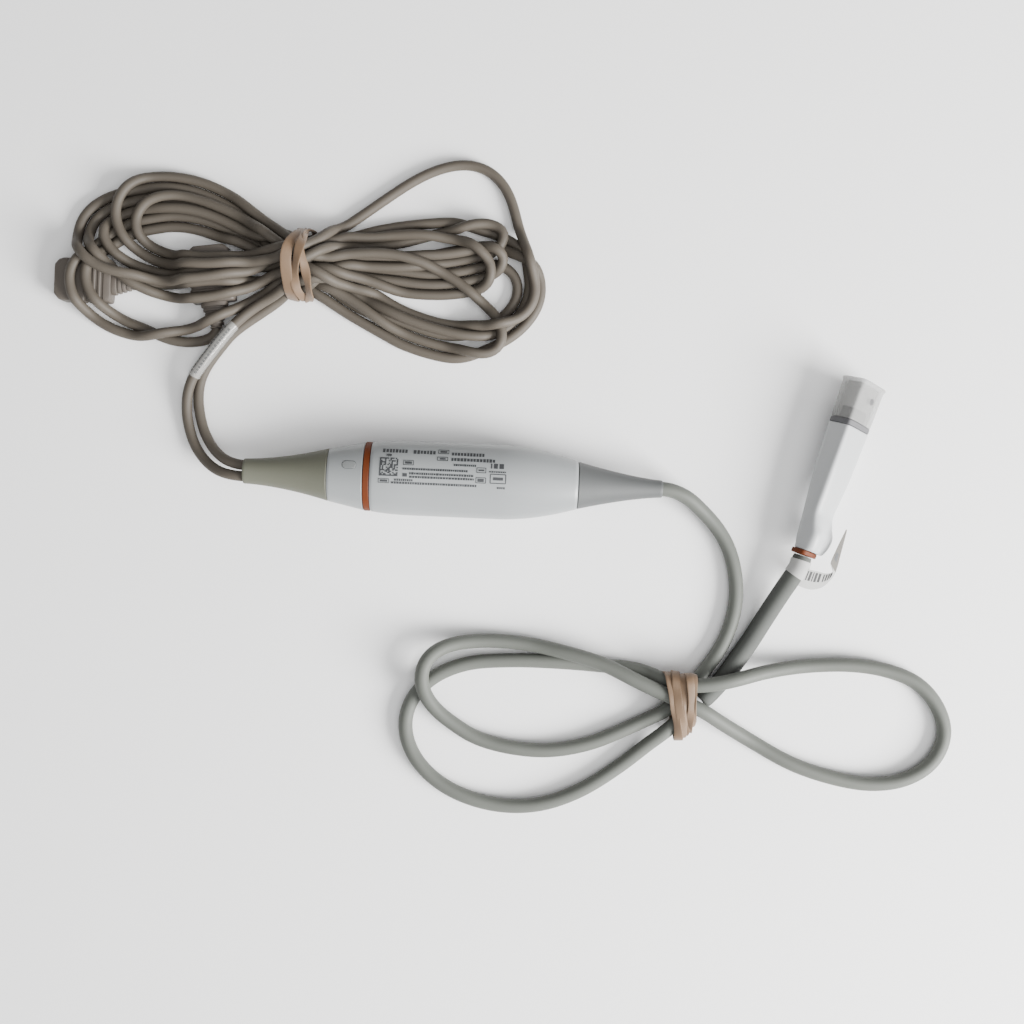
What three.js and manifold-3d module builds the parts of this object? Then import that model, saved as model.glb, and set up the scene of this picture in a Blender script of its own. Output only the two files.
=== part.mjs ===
// An inline patient-monitoring module: a sealed electronics pod with two thin sensor leads on one
// side and a thicker host cord with a capped host plug on the other. The leads are wound into a
// figure-of-eight hank held by a rubber band; the host cord lies in open loops with its own band.
//
// Millimetres, +Z up. The pod's axis lies along X, +X towards the host cord, and the origin is
// under the middle of the pod, on the surface that everything rests on.
import * as THREE from "three";
import { mergeVertices } from "three/addons/utils/BufferGeometryUtils.js";
import Module from "manifold-3d";

// ---------------------------------------------------------------- driving dimensions

const CLEARANCE = 0.3; // between neighbouring pieces
const AROUND = 28; // points round a pod section
const PLUG_AROUND = 24; // points round a plug section

const POD = {
  leadBootLength: 33,
  patientEndLength: 14,
  colourRingWidth: 2.6,
  mainLength: 79.4,
  hostBootLength: 32.8,
  mainHalfWidth: 14.4,
  flatness: 0.84, // height over width of the pod's oval section
  restFlatDepth: 0.45, // cut off the underside, to lie flat
  wall: 1.8,
  spigotLength: 6, // what each boot reaches into the housing
  neckLength: 6, // what the patient end reaches into the main housing
  seamGap: 0.2, // parting line between neighbouring casings
};

const CORD = { hostDiameter: 5.6, leadDiameter: 4 };
const LEAD_SPACING = CORD.leadDiameter + 0.3; // between the two leads' centres, at the boot
const MARKER = { outerDiameter: CORD.leadDiameter + 1, bore: CORD.leadDiameter + 0.4 };

// Half widths along the pod, from the lead end to the host end.
const leadTipHalf = LEAD_SPACING / 2 + CORD.leadDiameter / 2 + 0.75;
const HALF_WIDTHS = {
  leadTip: leadTipHalf,
  leadSeam: THREE.MathUtils.lerp(leadTipHalf, POD.mainHalfWidth, 0.5575),
  ring: POD.mainHalfWidth - 1.1,
  hostSeam: POD.mainHalfWidth * 0.639,
  hostTip: CORD.hostDiameter / 2 + 0.55,
};
const LEAD_TAPER = 1.7; // how hollow the lead boot's taper is
const HOST_TAPER = 1.42;
const SHOULDER = { start: 0.625, power: 1.8 }; // where along the main housing it begins to narrow
const SWELL = { length: 20, share: 0.9 }; // the main housing opens out behind the ring

const BOARD = { tongueWidth: 2 * (HALF_WIDTHS.ring - 6.8), thickness: 1.6, drop: 2.4, sideGap: 4.9 };
const WINDOW = { fromRing: 5.3, y: 3.9, length: 5.4, width: 2.9, proud: 0.15 };
const BAND = { thickness: 1, width: 9 };

const PLUG = {
  rear: [136.8, -23.2, 9.3], // middle of the colour ring's rear face
  heading: 72.8, // degrees from +X to the nose
  roll: 40, // degrees about its own axis, as it lies
  ringLength: 2,
  bodyLength: 50.5,
  gasketLength: 2.3,
  capLength: 16.2,
  noseReach: 5, // how far the nose stands out of the gasket
  noseHalfWidth: 5.5,
  noseHalfHeight: 3.2,
  frontHalfWidth: 7.5,
  frontHalfHeight: 5.2,
  rearHalfWidth: 4.7,
  rearHalfHeight: 3.7,
  wall: 1.4,
  capWall: 1.2,
  sleeveDiameter: CORD.hostDiameter + 1.8,
};

const LEAD_PLUG = {
  length: 22,
  width: 17,
  height: 7.4,
  chamfer: 2.4,
  bevel: 0.6,
  socketWidth: 9.2,
  socketHeight: 3.6,
  socketDepth: 9,
  bootLength: 10,
  places: [
    { name: "lead_connector_1", front: [-159, 72], heading: 180 },
    { name: "lead_connector_2", front: [-100, 87.5], heading: 98 },
  ],
};

const HANK = { height: 15, waist: [-70, -56], waistY: [72, 91.5] };

// The hank's outer shape, seen from above: a bow tie with its waist under the rubber band.
const HANK_OUTLINE = [
  [-56, 72], [-70, 72], [-88, 63], [-105, 52], [-128, 48], [-147, 55], [-155, 68], [-156, 90],
  [-152, 102], [-139, 110], [-123, 117], [-103, 110], [-87, 100], [-70, 91.5], [-56, 91.5],
  [-37, 107], [-15, 124], [1, 128], [14, 124], [22, 112], [26, 99], [32, 81], [29, 66],
  [25, 52], [14, 46], [-7, 48], [-31, 57],
];

// The routes are drawn for a pod of this length, and move out or in with its two ends. Their
// heights are drawn for cords of these diameters, and follow them where the cords cross.
const DRAWN_LENGTH = 161.8;
const DRAWN_DIAMETER = { host: 5.6, lead: 4 };

// The host cord's centre line outside the boot, up to the plug's sleeve.
const HOST_ROUTE = [
  [91, -2.8, 9.8], [97, -7.4, 6.6],
  [103, -13, 4.2], [108.3, -20.6, 3.1], [111.6, -30.3, 3], [112.7, -41, 3], [111, -52, 3],
  [107, -62, 3], [101.6, -70, 3.4], [96.7, -76.6, 4.6], [91.8, -81.8, 4.8], [86.6, -86.4, 4.7],
  [78.5, -91, 3], [69.4, -95.6, 3], [57.9, -100.7, 3], [42.3, -104.2, 3],
  [26.5, -103.7, 3], [12.6, -100.3, 3.2], [3.3, -94.8, 4.4],
  [-2.2, -90.5, 5.8], [-6.2, -85.8, 7.6], [-8.8, -80.2, 8.8], [-9, -74.2, 9.1], [-6.8, -69.2, 8.6],
  [-2.8, -65.9, 7.4], [3.2, -63.7, 5.6], [11.6, -62.4, 4.2], [21, -62.1, 3.6], [33, -62.9, 4],
  [47.8, -65.4, 7.1], [61.4, -68.9, 8.9], [74, -74.4, 10.6], [84, -78.6, 11], [92, -81.6, 11.1],
  [100, -84.8, 11], [108.5, -90, 7.6], [120.7, -97, 3.2], [136.8, -105.2, 3],
  [152.7, -110, 3], [168.5, -112, 3], [182.2, -109.5, 3], [192.5, -102.3, 3],
  [196.8, -91.5, 3], [193.9, -81, 3], [185.7, -71.9, 3], [173.7, -67.3, 3],
  [158.6, -65.6, 3], [139, -67, 3.6], [124, -69.6, 7], [113.5, -72.2, 11], [105, -74.3, 11.6],
  [97.4, -75.4, 10.9], [91.8, -75.6, 9.3], [84, -73.6, 6], [75, -70.9, 3.4], [60.5, -70, 3],
  [44.7, -69.4, 3], [25, -69.6, 3], [7.4, -71.8, 3], [-5.3, -77.9, 3],
  [-12.8, -86.5, 3], [-15.1, -96.4, 3], [-12.3, -106.5, 3], [-4.4, -116, 3],
  [7.7, -123, 3], [23.6, -126.6, 3], [39.3, -125.5, 3], [54.8, -119.4, 3],
  [70, -109, 3], [80.4, -100, 4], [88, -93.4, 6], [94.4, -87.6, 5.4], [99.3, -83.2, 4.6],
];

// The sleeve that stiffens the cord behind the plug, from the cord's end up to the plug.
const SLEEVE_ROUTE = [
  [100.8, -81.9, 4.5], [103.6, -79.2, 4.2], [108.6, -73.2, 4], [113.6, -65.8, 4],
  [118.7, -57.8, 4.1], [122.4, -51.2, 4.6], [126, -44.6, 5.6], [129.6, -38, 7.1],
  [132.6, -32.6, 8.6],
];

// The two leads, from the lead boot to the side of the hank. The second passes under.
const LEAD_1_ROUTE = [
  [-90.6, -0.8, 9.4], [-97.5, 3.4, 5],
  [-102.8, 9.8, 2.6], [-105.8, 18.4, 2.2], [-106.4, 25.6, 3.4], [-105, 33, 5.6],
  [-102.2, 38.4, 6.7], [-99.3, 42.4, 6.8], [-95, 48.4, 6.8], [-90.7, 54.4, 6.8],
  [-87.2, 59.3, 6.8],
];
const LEAD_2_ROUTE = [
  [-89.4, 4.2, 9], [-94.8, 8.6, 5.2],
  [-98.6, 14, 2.8], [-100.8, 20, 2.2], [-102, 26, 2.1], [-102.2, 32.4, 2.1], [-100.4, 38.8, 2.1],
  [-96.4, 45, 2.1], [-91.8, 51.2, 2.1], [-87.6, 57.2, 2.1],
];
const MARKER_SPAN = [-3.9, -1]; // where the marker sits, in points back from the first lead's end

// ---------------------------------------------------------------- places worked out from them

const podLength =
  POD.leadBootLength + POD.patientEndLength + POD.colourRingWidth + POD.mainLength + POD.hostBootLength;
const X = {};
X.leadTip = -podLength / 2;
X.leadSeam = X.leadTip + POD.leadBootLength;
X.ringStart = X.leadSeam + POD.patientEndLength;
X.ringEnd = X.ringStart + POD.colourRingWidth;
X.hostSeam = X.ringEnd + POD.mainLength;
X.hostTip = X.hostSeam + POD.hostBootLength;
X.shoulder = X.ringEnd + POD.mainLength * SHOULDER.start;
X.window = X.ringStart - WINDOW.fromRing;
X.boardStart = X.ringEnd - 9.7;
X.boardStep = X.ringEnd + 5.3;
X.boardEnd = X.hostSeam - 15.1;
X.leadHeader = X.boardStart + 10;
X.hostHeader = X.boardEnd - 3.5;
const axisHeight = POD.mainHalfWidth * POD.flatness - POD.restFlatDepth;
const boardTop = axisHeight - BOARD.drop;

// The pod's outer half width at x, without the colour ring's own step.
function halfWidthAt(x) {
  if (x <= X.leadSeam) {
    const t = Math.max(0, (x - X.leadTip) / POD.leadBootLength);
    return THREE.MathUtils.lerp(HALF_WIDTHS.leadTip, HALF_WIDTHS.leadSeam, t ** LEAD_TAPER);
  }
  if (x <= X.ringStart) {
    const t = (x - X.leadSeam) / POD.patientEndLength;
    return THREE.MathUtils.lerp(HALF_WIDTHS.leadSeam, HALF_WIDTHS.ring - 0.15, t);
  }
  if (x <= X.ringEnd) return HALF_WIDTHS.ring;
  if (x <= X.hostSeam) {
    const opening = Math.max(0, 1 - (x - X.ringEnd) / SWELL.length) ** 3;
    const swell = (POD.mainHalfWidth - HALF_WIDTHS.ring) * SWELL.share * opening;
    const t = Math.max(0, (x - X.shoulder) / (X.hostSeam - X.shoulder)) ** SHOULDER.power;
    return THREE.MathUtils.lerp(POD.mainHalfWidth - swell, HALF_WIDTHS.hostSeam, t);
  }
  const t = Math.min(1, (x - X.hostSeam) / POD.hostBootLength);
  return THREE.MathUtils.lerp(HALF_WIDTHS.hostTip, HALF_WIDTHS.hostSeam, (1 - t) ** HOST_TAPER);
}

// The oval section grows round towards the host tip, where the cord comes out.
function flatnessAt(x) {
  const t = THREE.MathUtils.clamp((x - X.hostSeam) / POD.hostBootLength, 0, 1);
  return THREE.MathUtils.lerp(POD.flatness, 1, t);
}

// ---------------------------------------------------------------- tools

const wasm = await Module();
wasm.setup();

const model = new THREE.Group();
const leadSide = new THREE.Group(); // what moves with the pod's two ends
const hostSide = new THREE.Group();
model.add(leadSide, hostSide);

function finish(hex, roughness, metalness = 0) {
  return new THREE.MeshStandardMaterial({ color: hex, roughness, metalness });
}

const WHITE_SHELL = () => finish(0xd9dcdd, 0.42);
const SAGE_BOOT = () => finish(0x9b9b8d, 0.7);
const GREY_BOOT = () => finish(0x9fa09f, 0.65);
const RUST = () => finish(0xa8582c, 0.5);
const TAUPE = () => finish(0x968e84, 0.55);
const HOST_GREY = () => finish(0x949a93, 0.55);
const RUBBER_TAN = () => finish(0xa89078, 0.75);
const BOARD_GREEN = () => finish(0x1f5c3a, 0.55);
const CHIP_BLACK = () => finish(0x202224, 0.5);
const TINNED = () => finish(0xb9bcbe, 0.35, 1);
const GOLD = () => finish(0xd4a84a, 0.3, 1);
const SEAL = () => finish(0x3a3d3f, 0.8);

function add(name, geometry, material, parent = model) {
  const mesh = new THREE.Mesh(geometry, material);
  mesh.name = name;
  parent.add(mesh);
  return mesh;
}

function bareGeometry(geometry) {
  const flat = geometry.index ? geometry.toNonIndexed() : geometry;
  const bare = new THREE.BufferGeometry();
  bare.setAttribute("position", flat.getAttribute("position"));
  return mergeVertices(bare, 1e-4);
}

function toSolid(geometry) {
  const merged = bareGeometry(geometry);
  return new wasm.Manifold(
    new wasm.Mesh({
      numProp: 3,
      vertProperties: new Float32Array(merged.attributes.position.array),
      triVerts: new Uint32Array(merged.index.array),
    }),
  );
}

function toGeometry(solid) {
  const mesh = solid.getMesh();
  const geometry = new THREE.BufferGeometry();
  const positions = new Float32Array(mesh.numVert * 3);
  for (let i = 0; i < mesh.numVert; i++) {
    positions.set(mesh.vertProperties.subarray(i * mesh.numProp, i * mesh.numProp + 3), i * 3);
  }
  geometry.setAttribute("position", new THREE.BufferAttribute(positions, 3));
  geometry.setIndex(new THREE.BufferAttribute(new Uint32Array(mesh.triVerts), 1));
  const shaded = geometry.toNonIndexed();
  shaded.computeVertexNormals();
  return shaded;
}

function cut(geometry, ...tools) {
  return toGeometry(tools.reduce((left, tool) => left.subtract(toSolid(tool)), toSolid(geometry)));
}

function join(...geometries) {
  return toGeometry(geometries.map(toSolid).reduce((sum, next) => sum.add(next)));
}

// A loop of points across the X axis: an ellipse at power 2, squarer above it.
function ring(x, halfWidth, halfHeight, { y = 0, z = 0, count = AROUND, power = 2 } = {}) {
  const round = (value) => Math.sign(value) * Math.abs(value) ** (2 / power);
  return Array.from({ length: count }, (_, i) => {
    const angle = (2 * Math.PI * i) / count;
    const across = halfWidth * round(Math.cos(angle));
    return new THREE.Vector3(x, y + across, z + halfHeight * round(Math.sin(angle)));
  });
}

// Above zero where the triangles face out.
function signedVolume(positions, index) {
  const corner = (i) => new THREE.Vector3().fromArray(positions, 3 * index[i]);
  let sum = 0;
  for (let i = 0; i < index.length; i += 3) {
    sum += corner(i).dot(corner(i + 1).cross(corner(i + 2))) / 6;
  }
  return sum;
}

// One closed body through rings of equal length: capped at both ends, or joined end to end.
function loft(rings, capped = true) {
  const around = rings[0].length;
  const positions = rings.flat().flatMap((p) => [p.x, p.y, p.z]);
  const index = [];
  const spans = capped ? rings.length - 1 : rings.length;
  for (let i = 0; i < spans; i++) {
    const near = i * around;
    const far = ((i + 1) % rings.length) * around;
    for (let j = 0; j < around; j++) {
      const k = (j + 1) % around;
      index.push(near + j, far + k, near + k, near + j, far + j, far + k);
    }
  }
  if (capped) {
    const last = (rings.length - 1) * around;
    for (let j = 1; j < around - 1; j++) {
      index.push(0, j, j + 1);
      index.push(last, last + j + 1, last + j);
    }
  }
  if (signedVolume(positions, index) < 0) index.reverse();
  const geometry = new THREE.BufferGeometry();
  geometry.setAttribute("position", new THREE.Float32BufferAttribute(positions, 3));
  geometry.setIndex(index);
  const shaded = geometry.toNonIndexed();
  shaded.computeVertexNormals();
  return shaded;
}

// A sleeve open at both ends: out along the outer rings and back along the inner ones.
function sleeve(outerRings, innerRings) {
  return loft([...outerRings, ...innerRings.toReversed()], false);
}

function stations(from, to, steps) {
  return Array.from({ length: steps + 1 }, (_, i) => THREE.MathUtils.lerp(from, to, i / steps));
}

// The pod's outer rings between two places, drawn in by an inset.
function podRings(from, to, steps, inset = 0) {
  return stations(from, to, steps).map((x) => {
    const half = halfWidthAt(x);
    return ring(x, half - inset, half * flatnessAt(x) - inset, { z: axisHeight });
  });
}

function straightRings(from, to, halfWidth, halfHeight, options) {
  return [from, to].map((x) => ring(x, halfWidth, halfHeight, options));
}

function box(from, to) {
  const low = new THREE.Vector3(...from);
  const high = new THREE.Vector3(...to);
  const size = high.clone().sub(low);
  const middle = low.clone().add(high).multiplyScalar(0.5);
  return new THREE.BoxGeometry(size.x, size.y, size.z).translate(middle.x, middle.y, middle.z);
}

// A rod along X, centred at y and z.
function rod(from, to, radius, y = 0, z = 0, sides = 16) {
  return new THREE.CylinderGeometry(radius, radius, to - from, sides)
    .rotateZ(-Math.PI / 2)
    .translate((from + to) / 2, y, z);
}

function vectors(points) {
  return points.map((p) => new THREE.Vector3(...p));
}

function curve(points) {
  return new THREE.CatmullRomCurve3(vectors(points), false, "centripetal");
}

function tube(path, radius, sides, steps, bore = 0) {
  const section = new THREE.Shape();
  const corner = (r, i) => [
    r * Math.cos((2 * Math.PI * i) / sides),
    r * Math.sin((2 * Math.PI * i) / sides),
  ];
  section.moveTo(...corner(radius, 0));
  for (let i = 1; i < sides; i++) section.lineTo(...corner(radius, i));
  section.closePath();
  if (bore) {
    const hole = new THREE.Path();
    hole.moveTo(...corner(bore, 0));
    for (let i = 1; i < sides; i++) hole.lineTo(...corner(bore, i));
    hole.closePath();
    section.holes.push(hole);
  }
  return new THREE.ExtrudeGeometry(section, { steps, extrudePath: path, bevelEnabled: false });
}

// ---------------------------------------------------------------- the pod's casings

const spigotWall = 1.4;
const boreGap = CLEARANCE;
const hostBore = CORD.hostDiameter / 2 + boreGap;
const leadBore = CORD.leadDiameter / 2 + boreGap - 0.1;

function restFlat() {
  const reach = podLength;
  return box([-reach, -reach, -reach], [reach, reach, 0]);
}

function mainShell() {
  const outer = podRings(X.ringEnd, X.hostSeam, 16);
  const inner = podRings(X.ringEnd, X.hostSeam, 10, POD.wall);
  return sleeve(outer, inner);
}

function halfShell(upper) {
  const far = podLength;
  const seam = axisHeight;
  const away = upper
    ? box([-far, -far, -far], [far, far, seam + POD.seamGap / 2])
    : box([-far, -far, seam - POD.seamGap / 2], [far, far, far]);
  return cut(mainShell(), away, restFlat());
}

const boardHalf = POD.mainHalfWidth - BOARD.sideGap;

// Four posts on the lower shell's floor carry the circuit board.
function boardPosts() {
  const top = boardTop - BOARD.thickness;
  const ends = [X.ringEnd + 16, X.boardEnd - 6];
  const sides = [-boardHalf + 3, boardHalf - 3];
  return ends.flatMap((x) => sides.map((y) => box([x - 1.5, y - 1.2, 1.4], [x + 1.5, y + 1.2, top])));
}

add("upper_housing", halfShell(true), WHITE_SHELL());
add("lower_housing", join(halfShell(false), ...boardPosts()), WHITE_SHELL());

function pill(inset, low, high) {
  const reach = WINDOW.length / 2 - WINDOW.width / 2;
  const radius = WINDOW.width / 2 + inset;
  const shape = new THREE.Shape();
  shape.absarc(reach, 0, radius, -Math.PI / 2, Math.PI / 2, false);
  shape.absarc(-reach, 0, radius, Math.PI / 2, (3 * Math.PI) / 2, false);
  shape.closePath();
  return new THREE.ExtrudeGeometry(shape, { depth: high - low, bevelEnabled: false, curveSegments: 8 })
    .translate(X.window, WINDOW.y, low);
}

const windowHalf = halfWidthAt(X.window);
const windowRoof = axisHeight + POD.flatness * Math.sqrt(windowHalf ** 2 - WINDOW.y ** 2);

function patientEnd() {
  const neckHalf = HALF_WIDTHS.ring - POD.wall - CLEARANCE;
  const neckHeight = HALF_WIDTHS.ring * POD.flatness - POD.wall - CLEARANCE;
  const end = X.ringEnd + POD.neckLength;
  const outer = [
    ...podRings(X.leadSeam, X.ringStart, 4),
    ring(X.ringStart, neckHalf, neckHeight, { z: axisHeight }),
    ring(end, neckHalf, neckHeight, { z: axisHeight }),
  ];
  const inner = [
    ...podRings(X.leadSeam, X.ringStart, 4, POD.wall + 0.2).slice(0, 4),
    ring(X.ringStart, neckHalf - spigotWall, neckHeight - spigotWall, { z: axisHeight }),
    ring(end, neckHalf - spigotWall, neckHeight - spigotWall, { z: axisHeight }),
  ];
  return cut(sleeve(outer, inner), pill(CLEARANCE / 2, axisHeight, axisHeight + 20), restFlat());
}

add("patient_end_housing", patientEnd(), WHITE_SHELL());

function colourRing() {
  const outerHalf = HALF_WIDTHS.ring;
  const boreHalf = HALF_WIDTHS.ring - POD.wall;
  const from = X.ringStart + POD.seamGap / 2;
  const to = X.ringEnd - POD.seamGap / 2;
  const bore = [boreHalf, HALF_WIDTHS.ring * POD.flatness - POD.wall];
  return sleeve(
    straightRings(from, to, outerHalf, outerHalf * POD.flatness, { z: axisHeight }),
    straightRings(from, to, ...bore, { z: axisHeight }),
  );
}

add("colour_ring", cut(colourRing(), restFlat()), RUST());
add(
  "status_window",
  pill(0, axisHeight + 1.2, windowRoof + WINDOW.proud),
  finish(0xe8ebea, 0.2),
);

// A boot is solid at its tip, where the cords pass, and hollow towards the housing.
function boot(outer, pocket, bores) {
  return cut(loft(outer), loft(pocket), ...bores);
}

const leadSpigotHalf = HALF_WIDTHS.leadSeam - POD.wall - 0.2 - CLEARANCE;
const leadSpigotHeight = HALF_WIDTHS.leadSeam * POD.flatness - POD.wall - 0.2 - CLEARANCE;
const SEAL_SEAT = { depth: 0.9, start: 1.5, end: 3.9 }; // the groove round each spigot

function spigotRings(at, direction, halfWidth, halfHeight) {
  const place = (distance, inset) =>
    ring(at + direction * distance, halfWidth - inset, halfHeight - inset, { z: axisHeight });
  return [
    place(0, 0),
    place(SEAL_SEAT.start, 0),
    place(SEAL_SEAT.start, SEAL_SEAT.depth),
    place(SEAL_SEAT.end, SEAL_SEAT.depth),
    place(SEAL_SEAT.end, 0),
    place(POD.spigotLength, 0),
  ];
}

function leadBoot() {
  const seam = X.leadSeam - POD.seamGap;
  const tipHalf = HALF_WIDTHS.leadTip;
  const tip = [
    ring(X.leadTip, tipHalf - 0.9, tipHalf * POD.flatness - 0.9, { z: axisHeight }),
    ...podRings(X.leadTip + 0.5, seam, 9),
  ];
  const outer = [...tip, ...spigotRings(seam, 1, leadSpigotHalf, leadSpigotHeight)];
  const pocketStart = X.leadTip + 15;
  const pocket = [
    ...podRings(pocketStart, seam - 6, 4, POD.wall),
    ring(seam, leadSpigotHalf - 1.6, leadSpigotHeight - 1.6, { z: axisHeight }),
    ring(seam + POD.spigotLength + 1, leadSpigotHalf - 1.6, leadSpigotHeight - 1.6, { z: axisHeight }),
  ];
  const bores = [-1, 1].map((side) =>
    rod(X.leadTip - 1, pocketStart + 1, leadBore, (side * LEAD_SPACING) / 2, axisHeight),
  );
  return boot(outer, pocket, bores);
}

add("lead_boot", leadBoot(), SAGE_BOOT());

const hostSpigotHalf = HALF_WIDTHS.hostSeam - POD.wall - CLEARANCE;
const hostSpigotHeight = HALF_WIDTHS.hostSeam * POD.flatness - POD.wall - CLEARANCE;

function hostBoot() {
  const seam = X.hostSeam + POD.seamGap;
  const tipHalf = HALF_WIDTHS.hostTip;
  const outer = [
    ring(X.hostTip, tipHalf, tipHalf, { z: axisHeight }),
    ...podRings(X.hostTip - 0.8, seam, 9),
    ...spigotRings(seam, -1, hostSpigotHalf, hostSpigotHeight),
  ];
  const pocketStart = X.hostTip - 20;
  const pocket = [
    ring(pocketStart, hostBore + 0.5, hostBore + 0.5, { z: axisHeight }),
    ring(X.hostTip - 27, hostBore + 0.9, hostBore + 0.9, { z: axisHeight }),
    ring(seam + 3, HALF_WIDTHS.hostSeam - 3.2, hostSpigotHeight - 1.4, { z: axisHeight }),
    ring(seam - POD.spigotLength - 1, hostSpigotHalf - 1.6, hostSpigotHeight - 1.6, { z: axisHeight }),
  ];
  const bore = rod(pocketStart - 1, X.hostTip + 1, hostBore, 0, axisHeight, 20);
  return boot(outer.toReversed(), pocket.toReversed(), [bore]);
}

add("host_boot", hostBoot(), GREY_BOOT());

function endSeal(at, direction, halfWidth, halfHeight) {
  const floor = SEAL_SEAT.depth - 0.15;
  const rib = 0.12; // how much of the clearance the seal's lip leaves free
  const from = at + direction * (SEAL_SEAT.start + 0.3);
  const to = at + direction * (SEAL_SEAT.end - 0.3);
  const span = direction > 0 ? [from, to] : [to, from];
  return sleeve(
    straightRings(...span, halfWidth + rib, halfHeight + rib, { z: axisHeight }),
    straightRings(...span, halfWidth - floor, halfHeight - floor, { z: axisHeight }),
  );
}

add(
  "lead_end_seal",
  endSeal(X.leadSeam - POD.seamGap, 1, leadSpigotHalf, leadSpigotHeight),
  SEAL(),
);
add(
  "host_end_seal",
  endSeal(X.hostSeam + POD.seamGap, -1, hostSpigotHalf, hostSpigotHeight),
  SEAL(),
);

// ---------------------------------------------------------------- inside the pod

function circuitBoard() {
  const shape = new THREE.Shape();
  const tongue = BOARD.tongueWidth / 2;
  shape.moveTo(X.boardStart, -tongue);
  shape.lineTo(X.boardStep, -tongue);
  shape.lineTo(X.boardStep + 2, -boardHalf);
  shape.lineTo(X.boardEnd, -boardHalf);
  shape.lineTo(X.boardEnd, boardHalf);
  shape.lineTo(X.boardStep + 2, boardHalf);
  shape.lineTo(X.boardStep, tongue);
  shape.lineTo(X.boardStart, tongue);
  shape.closePath();
  return new THREE.ExtrudeGeometry(shape, { depth: BOARD.thickness, bevelEnabled: false })
    .translate(0, 0, boardTop - BOARD.thickness);
}

add("circuit_board", circuitBoard(), BOARD_GREEN());

const HEADER_IVORY = () => finish(0xe6e2d4, 0.5);
const alongBoard = (share) => THREE.MathUtils.lerp(X.boardStart, X.boardEnd, share);

// What stands on the board: name, middle x and y, length, width, height and finish.
const COMPONENTS = [
  ["shield_can", alongBoard(0.39), 0, 21, 15, 4.2, TINNED],
  ["processor_chip", alongBoard(0.652), -2.6, 10, 10, 1.2, CHIP_BLACK],
  ["memory_chip", alongBoard(0.635), 5.6, 6, 4, 1.1, CHIP_BLACK],
  ["isolation_transformer", alongBoard(0.81), 3, 8.5, 9, 5, CHIP_BLACK],
  ["clock_crystal", alongBoard(0.77), -5.8, 3.2, 2.2, 0.9, TINNED],
  ["lead_wire_header", X.leadHeader, 0, 5, 10, 3, HEADER_IVORY],
  ["host_wire_header", X.hostHeader, 0, 5, 11, 3, HEADER_IVORY],
];
for (const [name, x, y, length, width, height, material] of COMPONENTS) {
  const low = [x - length / 2, y - width / 2, boardTop];
  add(name, box(low, [x + length / 2, y + width / 2, boardTop + height]), material());
}

function capacitor() {
  const height = 5.4;
  const can = new THREE.CylinderGeometry(2.1, 2.1, height, 16).rotateX(Math.PI / 2);
  return can.translate(alongBoard(0.845), -5.6, boardTop + height / 2);
}

add("supply_capacitor", capacitor(), TINNED());
const lightBase = [X.window - 1.2, WINDOW.y - 0.8, boardTop];
const lightTop = [X.window + 1.2, WINDOW.y + 0.8, boardTop + 0.8];
add("status_light", box(lightBase, lightTop), finish(0xf4f2e6, 0.4));

// Each clamp grips its cord just inside the boot.
function leadClamp() {
  const from = X.leadTip + 21.4;
  const to = from + 4;
  const half = halfWidthAt(from) - POD.wall - 0.5;
  const height = halfWidthAt(from) * POD.flatness - POD.wall - 0.5;
  const block = loft(straightRings(from, to, half, height, { z: axisHeight, power: 2.6 }));
  const bores = [-1, 1].map((side) =>
    rod(from - 1, to + 1, leadBore, (side * LEAD_SPACING) / 2, axisHeight),
  );
  return cut(block, ...bores);
}

add("lead_clamp", leadClamp(), TINNED());

function hostClamp() {
  const from = X.hostTip - 21;
  const to = from - 5;
  return sleeve(
    straightRings(to, from, hostBore + 0.45, hostBore + 0.45, { z: axisHeight, count: 20 }),
    straightRings(to, from, hostBore, hostBore, { z: axisHeight, count: 20 }),
  );
}

add("host_clamp", hostClamp(), TINNED());

const WIRE_RADIUS = 0.5;
const WIRE_COLOURS = [0xb03028, 0xe8e4d8, 0x2f6fb0, 0x2a2c2e];

function wire(points) {
  return tube(curve(points), WIRE_RADIUS, 6, 12);
}

WIRE_COLOURS.forEach((colour, i) => {
  const side = i - 1.5;
  const lead = [
    [X.leadTip + 25.3, side * 1.9, axisHeight], [X.leadTip + 28.9, side * 1.9, axisHeight],
    [X.leadSeam + 3.9, side * 2.2, axisHeight + 0.6], [X.leadHeader - 6.6, side * 2.4, axisHeight - 0.4],
    [X.leadHeader - 3, side * 2.4, boardTop + 1.5],
  ];
  add("lead_wire_" + (i + 1), wire(lead), finish(colour, 0.6));
  const host = [
    [X.hostTip - 27.3, side * 1.2, axisHeight], [X.hostTip - 29.9, side * 1.3, axisHeight],
    [X.hostSeam - 3.1, side * 1.8, axisHeight + 0.4], [X.hostHeader + 7.5, side * 2.4, axisHeight - 0.6],
    [X.hostHeader + 3, side * 2.6, boardTop + 1.5],
  ];
  add("host_wire_" + (i + 1), wire(host), finish(colour, 0.6));
});

// ---------------------------------------------------------------- cords

// The straight start of a cord inside its boot, at distances in from the boot's tip.
function insideBoot(end, y, distances) {
  return distances.map((distance) => [end * (DRAWN_LENGTH / 2 - distance), y, axisHeight]);
}

function raised(route, diameter, drawn) {
  return route.map(([x, y, z]) => [x, y, (z * diameter) / drawn]);
}

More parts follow.
